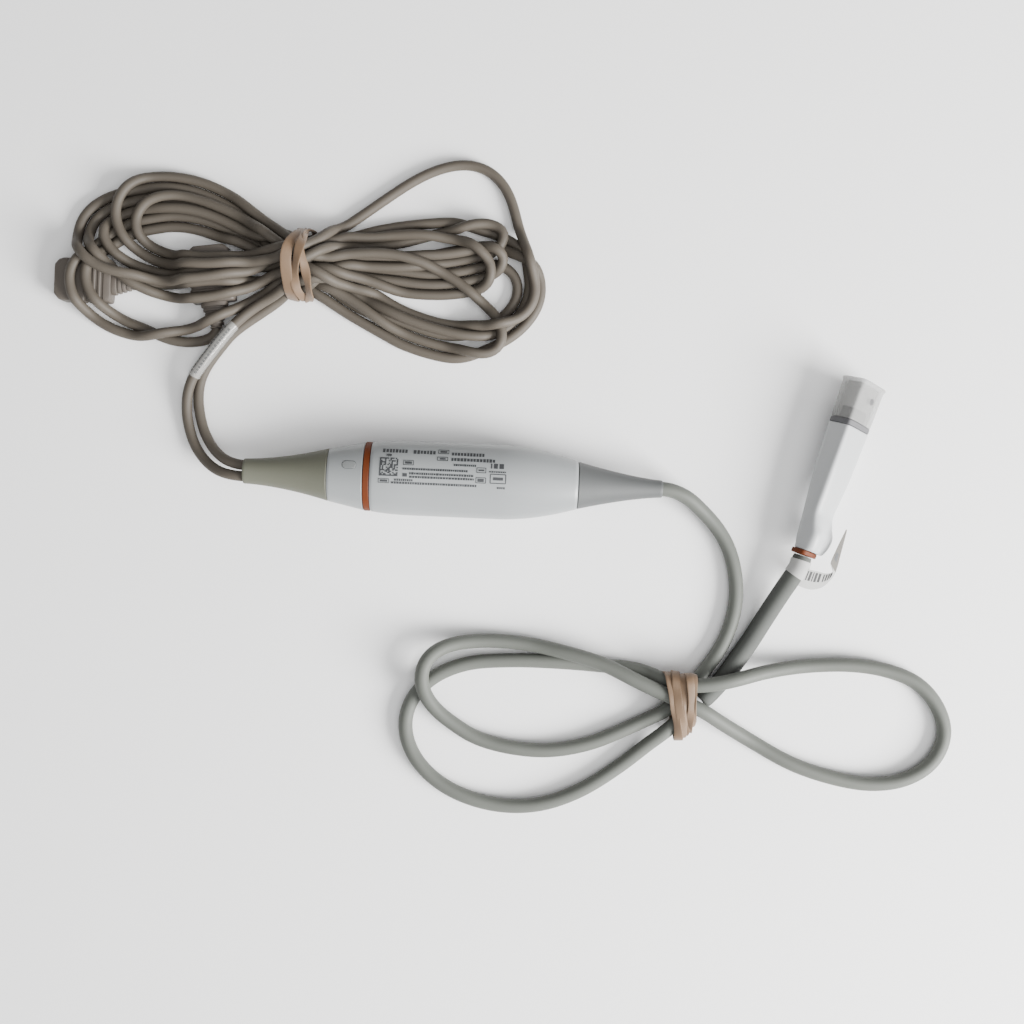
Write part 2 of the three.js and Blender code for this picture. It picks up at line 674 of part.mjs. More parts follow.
const hostRoute = raised(HOST_ROUTE, CORD.hostDiameter, DRAWN_DIAMETER.host);
const sleeveRoute = raised(SLEEVE_ROUTE, CORD.hostDiameter, DRAWN_DIAMETER.host);
const [lead1Route, lead2Route] = [LEAD_1_ROUTE, LEAD_2_ROUTE].map((route) =>
  raised(route, CORD.leadDiameter, DRAWN_DIAMETER.lead),
);
const leadY = LEAD_SPACING / 2;
const hostPath = curve([...insideBoot(1, 0, [26.4, 12, 4, -2.5]), ...hostRoute]);
const lead1Path = curve([...insideBoot(-1, -leadY, [24.9, 12, 5, -1.7]), ...lead1Route]);
const lead2Path = curve([...insideBoot(-1, leadY, [24.9, 12, 5, -1.7]), ...lead2Route]);
const HOST_STEPS = 62;

add("host_cord", tube(hostPath, CORD.hostDiameter / 2, 10, HOST_STEPS), HOST_GREY(), hostSide);
add("lead_1", tube(lead1Path, CORD.leadDiameter / 2, 8, 13), TAUPE(), leadSide);
add("lead_2", tube(lead2Path, CORD.leadDiameter / 2, 8, 12), TAUPE(), leadSide);

function markerSleeve() {
  const last = lead1Path.points.length - 1;
  const [from, to] = MARKER_SPAN.map((back) => lead1Path.getPoint((last + back) / last));
  return tube(new THREE.LineCurve3(from, to), MARKER.outerDiameter / 2, 14, 1, MARKER.bore / 2);
}

add("marker_sleeve", markerSleeve(), finish(0xd0d2cf, 0.15), leadSide);

// ---------------------------------------------------------------- lead connectors

function leadConnectorPlace(place) {
  const group = new THREE.Group();
  group.position.set(place.front[0], place.front[1], LEAD_PLUG.height / 2);
  group.rotation.z = THREE.MathUtils.degToRad(place.heading);
  group.updateMatrixWorld(true);
  return group;
}

// Modelled with its mating face at x = 0, facing +X.
function leadConnectorBody(grow = 0) {
  const half = LEAD_PLUG.width / 2 - LEAD_PLUG.bevel + grow;
  const front = grow;
  const back = -LEAD_PLUG.length + 2 * LEAD_PLUG.bevel - grow;
  const corner = LEAD_PLUG.chamfer;
  const shape = new THREE.Shape();
  shape.moveTo(back, -half);
  shape.lineTo(front - corner, -half);
  shape.lineTo(front, -half + corner);
  shape.lineTo(front, half - corner);
  shape.lineTo(front - corner, half);
  shape.lineTo(back, half);
  shape.closePath();
  const depth = LEAD_PLUG.height - 2 * LEAD_PLUG.bevel + 2 * grow;
  const body = new THREE.ExtrudeGeometry(shape, {
    depth,
    bevelThickness: LEAD_PLUG.bevel,
    bevelSize: LEAD_PLUG.bevel,
    bevelSegments: 1,
  });
  return body.translate(-LEAD_PLUG.bevel, 0, -depth / 2);
}

function leadConnectorBoot(grow = 0) {
  const back = -LEAD_PLUG.length - CLEARANCE;
  const halfTall = LEAD_PLUG.height / 2 - 0.5;
  return loft([
    ring(back - LEAD_PLUG.bootLength - grow, 2.6 + grow, 2.6 + grow, { count: 16 }),
    ring(back - 6, 3.4 + grow, halfTall - 0.2 + grow, { count: 16, power: 2.4 }),
    ring(back + grow, 5.4 + grow, halfTall + grow, { count: 16, power: 2.8 }),
  ]);
}

function socketBlock() {
  const halfWide = LEAD_PLUG.socketWidth / 2;
  const halfTall = LEAD_PLUG.socketHeight / 2;
  return box([-LEAD_PLUG.socketDepth, -halfWide, -halfTall], [1, halfWide, halfTall]);
}

function contactTongue() {
  const depth = LEAD_PLUG.socketDepth;
  return box([-depth + 0.05, -3.6, -0.6], [-1.6, 3.6, 0.6]);
}

const connectorGroups = LEAD_PLUG.places.map((place) => {
  const group = leadConnectorPlace(place);
  add(place.name, cut(leadConnectorBody(), socketBlock()), TAUPE(), group);
  add(place.name + "_tongue", contactTongue(), GOLD(), group);
  add(place.name + "_boot", leadConnectorBoot(), TAUPE(), group);
  leadSide.add(group);
  return group;
});

// ---------------------------------------------------------------- the hank of leads

function hankOutline() {
  const loop = new THREE.CatmullRomCurve3(
    HANK_OUTLINE.map(([x, y]) => new THREE.Vector3(x, y, 0)),
    true,
    "centripetal",
  );
  return new THREE.Shape(loop.getPoints(64).slice(0, -1).map((p) => new THREE.Vector2(p.x, p.y)));
}

function bandRelief() {
  const deep = BAND.thickness + CLEARANCE;
  return box([HANK.waist[0], HANK.waistY[0] - 9, -1], [HANK.waist[1], HANK.waistY[1] + 9, deep]);
}

function leadHank() {
  const body = new THREE.ExtrudeGeometry(hankOutline(), { depth: HANK.height, bevelEnabled: false });
  const pockets = connectorGroups.flatMap((group) =>
    [leadConnectorBody(0.4), leadConnectorBoot(0.4)].map((tool) => tool.applyMatrix4(group.matrixWorld)),
  );
  return cut(body, bandRelief(), ...pockets);
}

add("lead_hank", leadHank(), TAUPE(), leadSide);

function leadBand() {
  const middle = (HANK.waistY[0] + HANK.waistY[1]) / 2;
  const halfWide = (HANK.waistY[1] - HANK.waistY[0]) / 2 + 1.4;
  const low = BAND.thickness;
  const high = HANK.height + CLEARANCE;
  const place = { y: middle, z: (low + high) / 2, power: 8, count: 28 };
  const from = (HANK.waist[0] + HANK.waist[1]) / 2 - BAND.width / 2;
  const to = from + BAND.width;
  const halfTall = (high - low) / 2;
  return sleeve(
    straightRings(from, to, halfWide + BAND.thickness, halfTall + BAND.thickness, place),
    straightRings(from, to, halfWide, halfTall, place),
  );
}

add("lead_band", leadBand(), RUBBER_TAN(), leadSide);

// ---------------------------------------------------------------- the host cord's band

const HOST_BAND = { x: 92, halfWidth: 3.5, y: [-100, -68] };

// Where the cord's straight steps cross the plane at x inside the band, and which way they run.
function passesAt(x) {
  const points = hostPath.getSpacedPoints(HOST_STEPS);
  return points.slice(1).flatMap((to, i) => {
    const from = points[i];
    if (from.x > x === to.x > x) return [];
    const at = from.clone().lerp(to, (x - from.x) / (to.x - from.x));
    const inside = at.y > HOST_BAND.y[0] && at.y < HOST_BAND.y[1];
    return inside ? [{ at, along: to.clone().sub(from).normalize() }] : [];
  });
}

// How far the passes reach in one direction across X, standing off by a distance.
function reachOf(passes, angle, standOff) {
  const [dy, dz] = [Math.cos(angle), Math.sin(angle)];
  const radius = CORD.hostDiameter / 2 + standOff;
  const reaches = passes.map(({ at, along }) => {
    const slant = (along.y * dy + along.z * dz) / along.x; // a slanting cord is cut as an oval
    return at.y * dy + at.z * dz + radius * Math.hypot(1, slant);
  });
  return Math.max(...reaches);
}

// A loop drawn tight round the passes at x: its corners lie where neighbouring sides meet.
function bandRing(x, standOff) {
  const passes = passesAt(x);
  const count = 32;
  const angles = Array.from({ length: count }, (_, i) => (2 * Math.PI * i) / count);
  const apart = Math.sin((2 * Math.PI) / count);
  return angles.map((angle, i) => {
    const next = angles[(i + 1) % count];
    const near = reachOf(passes, angle, standOff);
    const far = reachOf(passes, next, standOff);
    const y = (near * Math.sin(next) - far * Math.sin(angle)) / apart;
    const z = (far * Math.cos(angle) - near * Math.cos(next)) / apart;
    return new THREE.Vector3(x, y, z);
  });
}

function hostBand() {
  const places = stations(HOST_BAND.x - HOST_BAND.halfWidth, HOST_BAND.x + HOST_BAND.halfWidth, 4);
  return sleeve(
    places.map((x) => bandRing(x, CLEARANCE + BAND.thickness)),
    places.map((x) => bandRing(x, CLEARANCE)),
  );
}

add("host_band", hostBand(), RUBBER_TAN(), hostSide);

// ---------------------------------------------------------------- the host plug

const plug = new THREE.Group();
plug.rotation.order = "ZYX";
plug.position.set(...PLUG.rear);
plug.rotation.set(THREE.MathUtils.degToRad(PLUG.roll), 0, THREE.MathUtils.degToRad(PLUG.heading));
plug.updateMatrixWorld(true);
hostSide.add(plug);

const bodyStart = PLUG.ringLength;
const bodyEnd = bodyStart + PLUG.bodyLength;
const gasketEnd = bodyEnd + PLUG.gasketLength;
const noseEnd = gasketEnd + PLUG.noseReach;
const capEnd = gasketEnd + PLUG.capLength;
const plugRing = (x, a, b, power = 3.6) => ring(x, a, b, { count: PLUG_AROUND, power });

// The body's half width and half height along its length, with a finger scoop before the rear
// swell, and how far the section stands to one side and upwards there, as a thumb lobe.
const BODY_SECTIONS = [
  [0, 1.15, 1.2, 0.7], [0.03, 1.25, 1.28, 0.9], [0.08, 1.38, 1.4, 1], [0.14, 1.42, 1.42, 1],
  [0.22, 1.37, 1.22, 0.5], [0.29, 1.3, 1.08, 0.12], [0.36, 1.32, 1.11, 0], [0.44, 1.37, 1.18, 0],
  [0.54, 1.45, 1.26, 0], [0.66, 1.51, 1.315, 0], [0.82, 1.545, 1.35, 0], [1, 1.596, 1.405, 0],
];
const LOBE_SHIFT = new THREE.Vector3(0, -1.3, 1.3);
const SQUARENESS = { rear: 3.3, front: 7 }; // the corners sharpen towards the front

function bodyRings(inset, shorten = 0) {
  const widthScale = PLUG.frontHalfWidth / (PLUG.rearHalfWidth * 1.596);
  const heightScale = PLUG.frontHalfHeight / (PLUG.rearHalfHeight * 1.405);
  return BODY_SECTIONS.map(([along, wide, tall, lobe]) => {
    const x = THREE.MathUtils.lerp(bodyStart + shorten, bodyEnd - shorten, along);
    const a = PLUG.rearHalfWidth * wide * THREE.MathUtils.lerp(1, widthScale, along);
    const b = PLUG.rearHalfHeight * tall * THREE.MathUtils.lerp(1, heightScale, along);
    const power = THREE.MathUtils.lerp(SQUARENESS.rear, SQUARENESS.front, along);
    const shift = LOBE_SHIFT.clone().multiplyScalar(lobe);
    return plugRing(x, a - inset, b - inset, power).map((point) => point.add(shift));
  });
}

add("plug_housing", sleeve(bodyRings(0, 0.1), bodyRings(PLUG.wall, 0.1)), WHITE_SHELL(), plug);

const neck = { halfWidth: 2.9, halfHeight: 1.9, reach: 7 };

function plugColourRing() {
  const outer = [PLUG.rearHalfWidth + 0.1, PLUG.rearHalfHeight + 0.1];
  const bore = [neck.halfWidth + CLEARANCE, neck.halfHeight + CLEARANCE];
  const [from, to] = [0.1, PLUG.ringLength - 0.1];
  return sleeve(
    [plugRing(from, ...outer), plugRing(to, ...outer)],
    [plugRing(from, ...bore, 2.4), plugRing(to, ...bore, 2.4)],
  );
}

add("plug_colour_ring", plugColourRing(), RUST(), plug);

function plugGasket() {
  const bore = [PLUG.noseHalfWidth + CLEARANCE, PLUG.noseHalfHeight + CLEARANCE];
  const outer = [PLUG.frontHalfWidth - 0.15, PLUG.frontHalfHeight - 0.15];
  const [from, to] = [bodyEnd + 0.1, gasketEnd - 0.1];
  return sleeve(
    [plugRing(from, ...outer, SQUARENESS.front), plugRing(to, ...outer, SQUARENESS.front)],
    [plugRing(from, ...bore), plugRing(to, ...bore)],
  );
}

add("plug_gasket", plugGasket(), finish(0x9b9b9e, 0.75), plug);

const SLOT = { halfWidth: 4.2, halfHeight: 1, depth: 9 };

function contactBlock() {
  const root = bodyEnd - 9;
  const tapered = [PLUG.noseHalfWidth - 0.6, PLUG.noseHalfHeight - 0.4];
  const block = loft([
    plugRing(root, ...tapered),
    plugRing(bodyEnd - 3, PLUG.noseHalfWidth, PLUG.noseHalfHeight),
    plugRing(noseEnd, PLUG.noseHalfWidth, PLUG.noseHalfHeight),
  ]);
  const slot = box(
    [noseEnd - SLOT.depth, -SLOT.halfWidth, -SLOT.halfHeight],
    [noseEnd + 1, SLOT.halfWidth, SLOT.halfHeight],
  );
  return cut(block, slot);
}

add("contact_block", contactBlock(), finish(0x8a8c8d, 0.6), plug);

// A comb of spring contacts on one carrier, inside the nose's slot.
function contactComb() {
  const shape = new THREE.Shape();
  const back = noseEnd - SLOT.depth + 0.1;
  const carrier = 1.6;
  const fingers = 7;
  const pitch = 1.1;
  const finger = 0.6;
  const half = (fingers * pitch) / 2;
  shape.moveTo(back, -half);
  for (let i = 0; i < fingers; i++) {
    const low = -half + i * pitch + (pitch - finger) / 2;
    shape.lineTo(back + carrier, low);
    shape.lineTo(noseEnd - 1, low);
    shape.lineTo(noseEnd - 1, low + finger);
    shape.lineTo(back + carrier, low + finger);
  }
  shape.lineTo(back, half);
  shape.closePath();
  return new THREE.ExtrudeGeometry(shape, { depth: 0.5, bevelEnabled: false }).translate(0, 0, -0.8);
}

add("contact_comb", contactComb(), GOLD(), plug);

const boardSpan = [bodyStart + PLUG.bodyLength * 0.46, bodyEnd - 10];
add("plug_board", box([boardSpan[0], -4, -0.5], [boardSpan[1], 4, 0.5]), BOARD_GREEN(), plug);
add(
  "identity_chip",
  box([boardSpan[0] + 6, -1.8, 0.5], [boardSpan[0] + 10, 1.8, 1.4]),
  CHIP_BLACK(),
  plug,
);
[-1, 1].forEach((side, i) => {
  const from = bodyStart + neck.reach + 0.4;
  const to = boardSpan[0] - CLEARANCE;
  const wireCurve = curve([
    [from, side * 1.1, 0], [from + 4, side * 1.2, 0], [(from + to) / 2, side * 1.6, 0],
    [to - 3, side * 2, 0], [to, side * 2, 0],
  ]);
  add("plug_wire_" + (i + 1), tube(wireCurve, WIRE_RADIUS, 6, 8), finish(WIRE_COLOURS[i], 0.6), plug);
});

function protectiveCap() {
  const from = gasketEnd + 0.1;
  const flare = capEnd - 2.2;
  const front = [PLUG.frontHalfWidth, PLUG.frontHalfHeight];
  const outerAt = (x, grow) => plugRing(x, front[0] + grow, front[1] + grow, SQUARENESS.front);
  const lip = [outerAt(capEnd - 0.5, 0.6), outerAt(capEnd, 0.35)];
  const outer = [outerAt(from, -0.05), outerAt(flare, 0.2), ...lip];
  const innerEnd = capEnd - PLUG.capWall;
  const inner = [
    outerAt(from - 1, -0.05 - PLUG.capWall),
    outerAt(flare, 0.1 - PLUG.capWall),
    outerAt(innerEnd, 0.1 - PLUG.capWall),
  ];
  return cut(loft(outer), loft(inner));
}

add("protective_cap", protectiveCap(), finish(0xcfd0cc, 0.35), plug);

function behindPlug(distance) {
  return plug.localToWorld(new THREE.Vector3(-distance, 0, 0));
}

const sleevePath = curve([...sleeveRoute, ...[5, 2.5, 0.3].map((d) => behindPlug(d).toArray())]);

// The moulded sleeve behind the plug: a curved body with a neck held inside the plug's housing.
function strainRelief() {
  const body = tube(sleevePath, PLUG.sleeveDiameter / 2, 12, 9);
  const root = loft([
    ring(-2, neck.halfWidth, neck.halfHeight, { count: 16 }),
    ring(bodyStart + 3.4, neck.halfWidth, neck.halfHeight, { count: 16 }),
    ring(bodyStart + 3.8, neck.halfWidth + 0.6, neck.halfHeight + 0.5, { count: 16 }),
    ring(bodyStart + neck.reach, neck.halfWidth + 0.6, neck.halfHeight + 0.5, { count: 16 }),
  ]);
  return join(body, root.applyMatrix4(plug.matrixWorld));
}

add("strain_relief", strainRelief(), GREY_BOOT(), hostSide);

// A paper label wrapped once round the sleeve, its two ends stuck together as a flag.
const LABEL = { fromRing: 2.5, width: 8, thickness: 0.3, standOff: 0.6, flag: 15 };

function paperLabel() {
  const length = sleevePath.getLength();
  const at = (distance) => sleevePath.getPointAt(1 - distance / length);
  const far = at(LABEL.fromRing + LABEL.width);
  const middle = at(LABEL.fromRing + LABEL.width / 2);
  const near = at(LABEL.fromRing);
  const bore = PLUG.sleeveDiameter / 2 + LABEL.standOff;
  const line = new THREE.CatmullRomCurve3([far, middle, near]);
  const wrap = tube(line, bore + LABEL.thickness, 16, 4, bore);
  const half = LABEL.width / 2;
  const flag = box([-half, -bore - LABEL.flag, bore], [half, -0.5, bore + LABEL.thickness]);
  const heading = Math.atan2(near.y - far.y, near.x - far.x);
  flag.applyMatrix4(new THREE.Matrix4().makeRotationZ(heading).setPosition(middle));
  return join(wrap, flag);
}

add("paper_label", paperLabel(), finish(0xe9e9e4, 0.85), hostSide);

leadSide.position.x = -(podLength - DRAWN_LENGTH) / 2;
hostSide.position.x = (podLength - DRAWN_LENGTH) / 2;

export default model;
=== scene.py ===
"""An inline monitoring adapter: pod, two leads in a banded hank, looped host cord, capped plug."""
import math

import bmesh
import bpy
import numpy as np
from mathutils import Matrix, Vector


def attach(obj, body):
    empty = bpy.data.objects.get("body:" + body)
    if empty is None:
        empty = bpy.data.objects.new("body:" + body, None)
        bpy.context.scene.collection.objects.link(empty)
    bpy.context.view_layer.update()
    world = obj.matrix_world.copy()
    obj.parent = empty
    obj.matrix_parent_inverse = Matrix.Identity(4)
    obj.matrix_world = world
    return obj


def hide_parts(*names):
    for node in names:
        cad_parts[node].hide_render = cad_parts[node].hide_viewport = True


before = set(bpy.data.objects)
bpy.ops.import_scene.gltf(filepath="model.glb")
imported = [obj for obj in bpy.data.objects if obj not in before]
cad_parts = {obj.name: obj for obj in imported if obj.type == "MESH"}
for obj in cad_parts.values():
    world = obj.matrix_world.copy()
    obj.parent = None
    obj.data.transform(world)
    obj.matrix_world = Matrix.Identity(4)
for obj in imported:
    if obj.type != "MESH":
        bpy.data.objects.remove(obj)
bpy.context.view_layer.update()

MM = 0.001
BODY = "module"

# ---- camera

camera = bpy.data.objects.new("camera", bpy.data.cameras.new("camera"))
bpy.context.collection.objects.link(camera)
camera.location = (0.02328, -0.01135, 0.5)
camera.rotation_euler = (0, 0, math.radians(2.5))
camera.data.sensor_width = 36
camera.data.lens = 44.47
camera.data.clip_start = 0.01
bpy.context.scene.camera = camera

# ---- the pod's measures, in mm

POD_HALF = 80.9
LEAD_SEAM, RING_START, RING_END, HOST_SEAM = -47.9, -33.9, -31.3, 48.1
LEAD_BOOT, PATIENT_END, MAIN, HOST_BOOT = 33, 14, 79.4, 32.8  # lengths along the pod
LEAD_SIDE = 2.15  # how far each lead leaves the boot from its middle
SHOULDER = RING_END + MAIN * 0.625
HALF = {"lead_tip": 4.9, "lead_seam": 10.195, "ring": 13.3, "main": 14.4, "host_seam": 9.2,
        "host_tip": 3.35}
FLATNESS = 0.84
AXIS = 14.4 * FLATNESS - 0.45
LEAD_D, HOST_D, SLEEVE_D = 4.0, 5.6, 7.4


def mix(a, b, t):
    return a + (b - a) * t


def half_width(x):
    """The pod's outer half width at x."""
    if x <= LEAD_SEAM:
        t = max(0, (x + POD_HALF) / LEAD_BOOT)
        return mix(HALF["lead_tip"], HALF["lead_seam"], t**1.7)
    if x <= RING_START:
        return mix(HALF["lead_seam"], HALF["ring"] - 0.15, (x - LEAD_SEAM) / PATIENT_END)
    if x <= RING_END:
        return HALF["ring"]
    if x <= HOST_SEAM:
        swell = (HALF["main"] - HALF["ring"]) * 0.9 * max(0, 1 - (x - RING_END) / 20) ** 3
        t = max(0, (x - SHOULDER) / (HOST_SEAM - SHOULDER)) ** 1.8
        return mix(HALF["main"] - swell, HALF["host_seam"], t)
    t = min(1, (x - HOST_SEAM) / HOST_BOOT)
    return mix(HALF["host_tip"], HALF["host_seam"], (1 - t) ** 1.42)


def flatness(x):
    return mix(FLATNESS, 1, min(max((x - HOST_SEAM) / HOST_BOOT, 0), 1))


def pod_top(x, y):
    half = half_width(x)
    return AXIS + flatness(x) * math.sqrt(max(0, half**2 - y**2))


# ---- paths


def catmull(points, spacing):
    """A centripetal Catmull-Rom line through the points, at an even spacing."""
    p = np.array(points, float)
    p = np.vstack([2 * p[0] - p[1], p, 2 * p[-1] - p[-2]])
    out = []
    for i in range(1, len(p) - 2):
        p0, p1, p2, p3 = p[i - 1 : i + 3]
        knots = [max(np.linalg.norm(b - a), 1e-6) ** 0.5 for a, b in ((p0, p1), (p1, p2), (p2, p3))]
        t1, t2, t3 = np.cumsum(knots)
        t = np.linspace(t1, t2, 24, endpoint=False)[:, None]
        a1 = (t1 - t) / t1 * p0 + t / t1 * p1
        a2 = (t2 - t) / (t2 - t1) * p1 + (t - t1) / (t2 - t1) * p2
        a3 = (t3 - t) / (t3 - t2) * p2 + (t - t2) / (t3 - t2) * p3
        b1 = (t2 - t) / t2 * a1 + t / t2 * a2
        b2 = (t3 - t) / (t3 - t1) * a2 + (t - t1) / (t3 - t1) * a3
        out.append((t2 - t) / (t2 - t1) * b1 + (t - t1) / (t2 - t1) * b2)
    out.append(p[-2][None])
    return evenly(np.vstack(out), spacing)


def lengths(path):
    return np.concatenate([[0], np.cumsum(np.linalg.norm(np.diff(path, axis=0), axis=1))])


def evenly(path, spacing):
    along = lengths(path)
    count = max(2, int(round(along[-1] / spacing)) + 1)
    at = np.linspace(0, along[-1], count)
    return np.column_stack([np.interp(at, along, path[:, k]) for k in range(3)])


def smoothed(path, rounds, keep=3):
    """The path with its kinks eased; the first and last few points stay."""
    path = path.copy()
    for _ in range(rounds):
        beside = path[keep - 1 : -keep - 1] + path[keep + 1 : len(path) - keep + 1]
        path[keep:-keep] += 0.5 * (beside / 2 - path[keep:-keep])
    return path


# ---- mesh tools


def ring(x, half_wide, half_tall, y=0.0, z=0.0, count=96, power=2.0, start=0.0, turn=1.0):
    """Points round the X axis: an ellipse at power 2, squarer above it."""

    def rounded(v):
        return math.copysign(abs(v) ** (2 / power), v)

    steps = count if turn == 1 else count + 1
    angles = [2 * math.pi * (start + turn * i / count) for i in range(steps)]
    return [Vector((x, y + half_wide * rounded(math.cos(a)), z + half_tall * rounded(math.sin(a))))
            for a in angles]


def new_piece(name, vertices, faces, smooth_angle=32):
    mesh = bpy.data.meshes.new(name)
    mesh.from_pydata([tuple(v * MM for v in p) for p in vertices], [], faces)
    bm = bmesh.new()
    bm.from_mesh(mesh)
    bmesh.ops.recalc_face_normals(bm, faces=bm.faces)
    bm.to_mesh(mesh)
    bm.free()
    mesh.shade_smooth()
    mesh.set_sharp_from_angle(angle=math.radians(smooth_angle))
    piece = bpy.data.objects.new(name, mesh)
    bpy.context.collection.objects.link(piece)
    return piece


def loft_faces(rings, around, capped):
    faces = []
    spans = len(rings) - 1 if capped else len(rings)
    for i in range(spans):
        near, far = i * around, ((i + 1) % len(rings)) * around
        faces += [(near + j, near + (j + 1) % around, far + (j + 1) % around, far + j)
                  for j in range(around)]
    if capped:
        last = (len(rings) - 1) * around
        faces += [tuple(range(around)), tuple(last + j for j in range(around))]
    return faces


def loft(name, rings, capped=True, smooth_angle=32):
    vertices = [p for r in rings for p in r]
    return new_piece(name, vertices, loft_faces(rings, len(rings[0]), capped), smooth_angle)


def sleeve(name, outer, inner, smooth_angle=32):
    """Open at both ends: out along the outer rings and back along the inner ones."""
    return loft(name, [*outer, *reversed(inner)], capped=False, smooth_angle=smooth_angle)


def apply_modifiers(piece):
    bpy.context.view_layer.update()
    graph = bpy.context.evaluated_depsgraph_get()
    mesh = bpy.data.meshes.new_from_object(piece.evaluated_get(graph))
    piece.modifiers.clear()
    piece.data = mesh
    return piece


def carve(piece, tool):
    m = piece.modifiers.new("cut", "BOOLEAN")
    m.operation = "DIFFERENCE"
    m.solver = "EXACT"
    m.object = tool
    apply_modifiers(piece)
    bpy.data.objects.remove(tool)
    piece.data.shade_smooth()
    piece.data.set_sharp_from_angle(angle=math.radians(32))
    return piece


def stations(a, b, steps):
    return [mix(a, b, i / steps) for i in range(steps + 1)]


def frames(path):
    """The direction at each point of a path, with two directions across it that never twist."""
    along = np.gradient(path, axis=0)
    along /= np.linalg.norm(along, axis=1)[:, None]
    side = np.cross(along[0], (0, 0, 1))
    sides = []
    for a in along:
        side = side - a * np.dot(side, a)
        side /= np.linalg.norm(side)
        sides.append(side)
    sides = np.array(sides)
    return along, sides, np.cross(sides, along)


def tube_rings(path, radii, count=36):
    _, sides, ups = frames(path)
    angles = [2 * math.pi * i / count for i in range(count)]
    return [[Vector(p + r * (math.cos(a) * s + math.sin(a) * u)) for a in angles]
            for p, s, u, r in zip(path, sides, ups, radii)]


# ---- the cords

HOST_ROUTE = [
    (74, 0, AXIS), (77, 0, AXIS), (83.4, 0, AXIS), (91, -2.8, 9.8), (97, -7.4, 6.6),
    (103, -13, 4.2), (108.3, -20.6, 3.1), (111.6, -30.3, 3), (112.7, -41, 3), (111, -52, 3),
    (107, -62, 3), (101.6, -70, 3.4), (96.7, -76.6, 4.6), (91.8, -81.8, 4.8), (86.6, -86.4, 4.7),
    (78.5, -91, 3), (69.4, -95.6, 3), (57.9, -100.7, 3), (42.3, -104.2, 3),
    (26.5, -103.7, 3), (12.6, -100.3, 3.2), (3.3, -94.8, 4.4),
    (-2.2, -90.5, 5.8), (-6.2, -85.8, 7.6), (-8.8, -80.2, 8.8), (-9, -74.2, 9.1), (-6.8, -69.2, 8.6),
    (-2.8, -65.9, 7.4), (3.2, -63.7, 5.6), (11.6, -62.4, 4.2), (21, -62.1, 3.6), (33, -62.9, 4),
    (47.8, -65.4, 7.1), (61.4, -68.9, 8.9), (74, -74.4, 10.6), (84, -78.6, 11), (92, -81.6, 11.1),
    (100, -84.8, 11), (108.5, -90, 7.6), (120.7, -97, 3.2), (136.8, -105.2, 3),
    (152.7, -110, 3), (168.5, -112, 3), (182.2, -109.5, 3), (192.5, -102.3, 3),
    (196.8, -91.5, 3), (193.9, -81, 3), (185.7, -71.9, 3), (173.7, -67.3, 3),
    (158.6, -65.6, 3), (139, -67, 3.6), (124, -69.6, 7), (113.5, -72.2, 11), (105, -74.3, 11.6),
    (97.4, -75.4, 10.9), (91.8, -75.6, 9.3), (84, -73.6, 6), (75, -70.9, 3.4), (60.5, -70, 3),
    (44.7, -69.4, 3), (25, -69.6, 3), (7.4, -71.8, 3), (-5.3, -77.9, 3),
    (-12.8, -86.5, 3), (-15.1, -96.4, 3), (-12.3, -106.5, 3), (-4.4, -116, 3),
    (7.7, -123, 3), (23.6, -126.6, 3), (39.3, -125.5, 3), (54.8, -119.4, 3),
    (70, -109, 3), (80.4, -100, 4), (88, -93.4, 6), (94.4, -87.6, 5.4), (99.3, -83.2, 4.6),
]
SLEEVE_ROUTE = [
    (100.8, -81.9, 4.5), (103.6, -79.2, 4.2), (108.6, -73.2, 4), (113.6, -65.8, 4),
    (118.7, -57.8, 4.1), (122.4, -51.2, 4.6), (126, -44.6, 5.6), (129.6, -38, 7.1),
    (132.6, -32.6, 8.6),
]
LEAD_STARTS = [
    [(-74, -2.15, AXIS), (-76, -2.15, AXIS), (-82.6, -2.15, AXIS), (-90.6, -0.8, 9.4), (-97.5, 3.4, 5),
     (-102.8, 9.8, 2.6), (-105.8, 18.4, 2.2), (-106.4, 25.6, 3.4), (-105, 33, 5.6),
     (-102.2, 38.4, 6.7), (-99.3, 42.4, 6.8), (-95, 48.4, 6.8), (-90.7, 54.4, 6.8), (-87.2, 59.3, 6.8)],
    [(-74, 2.15, AXIS), (-76, 2.15, AXIS), (-82.6, 2.15, AXIS), (-89.4, 4.2, 9), (-94.8, 8.6, 5.2),
     (-98.6, 14, 2.8), (-100.8, 20, 2.2), (-102, 26, 2.1), (-102.2, 32.4, 2.1), (-100.4, 38.8, 2.1),
     (-96.4, 45, 2.1), (-91.8, 51.2, 2.1), (-87.6, 57.2, 2.1)],
]
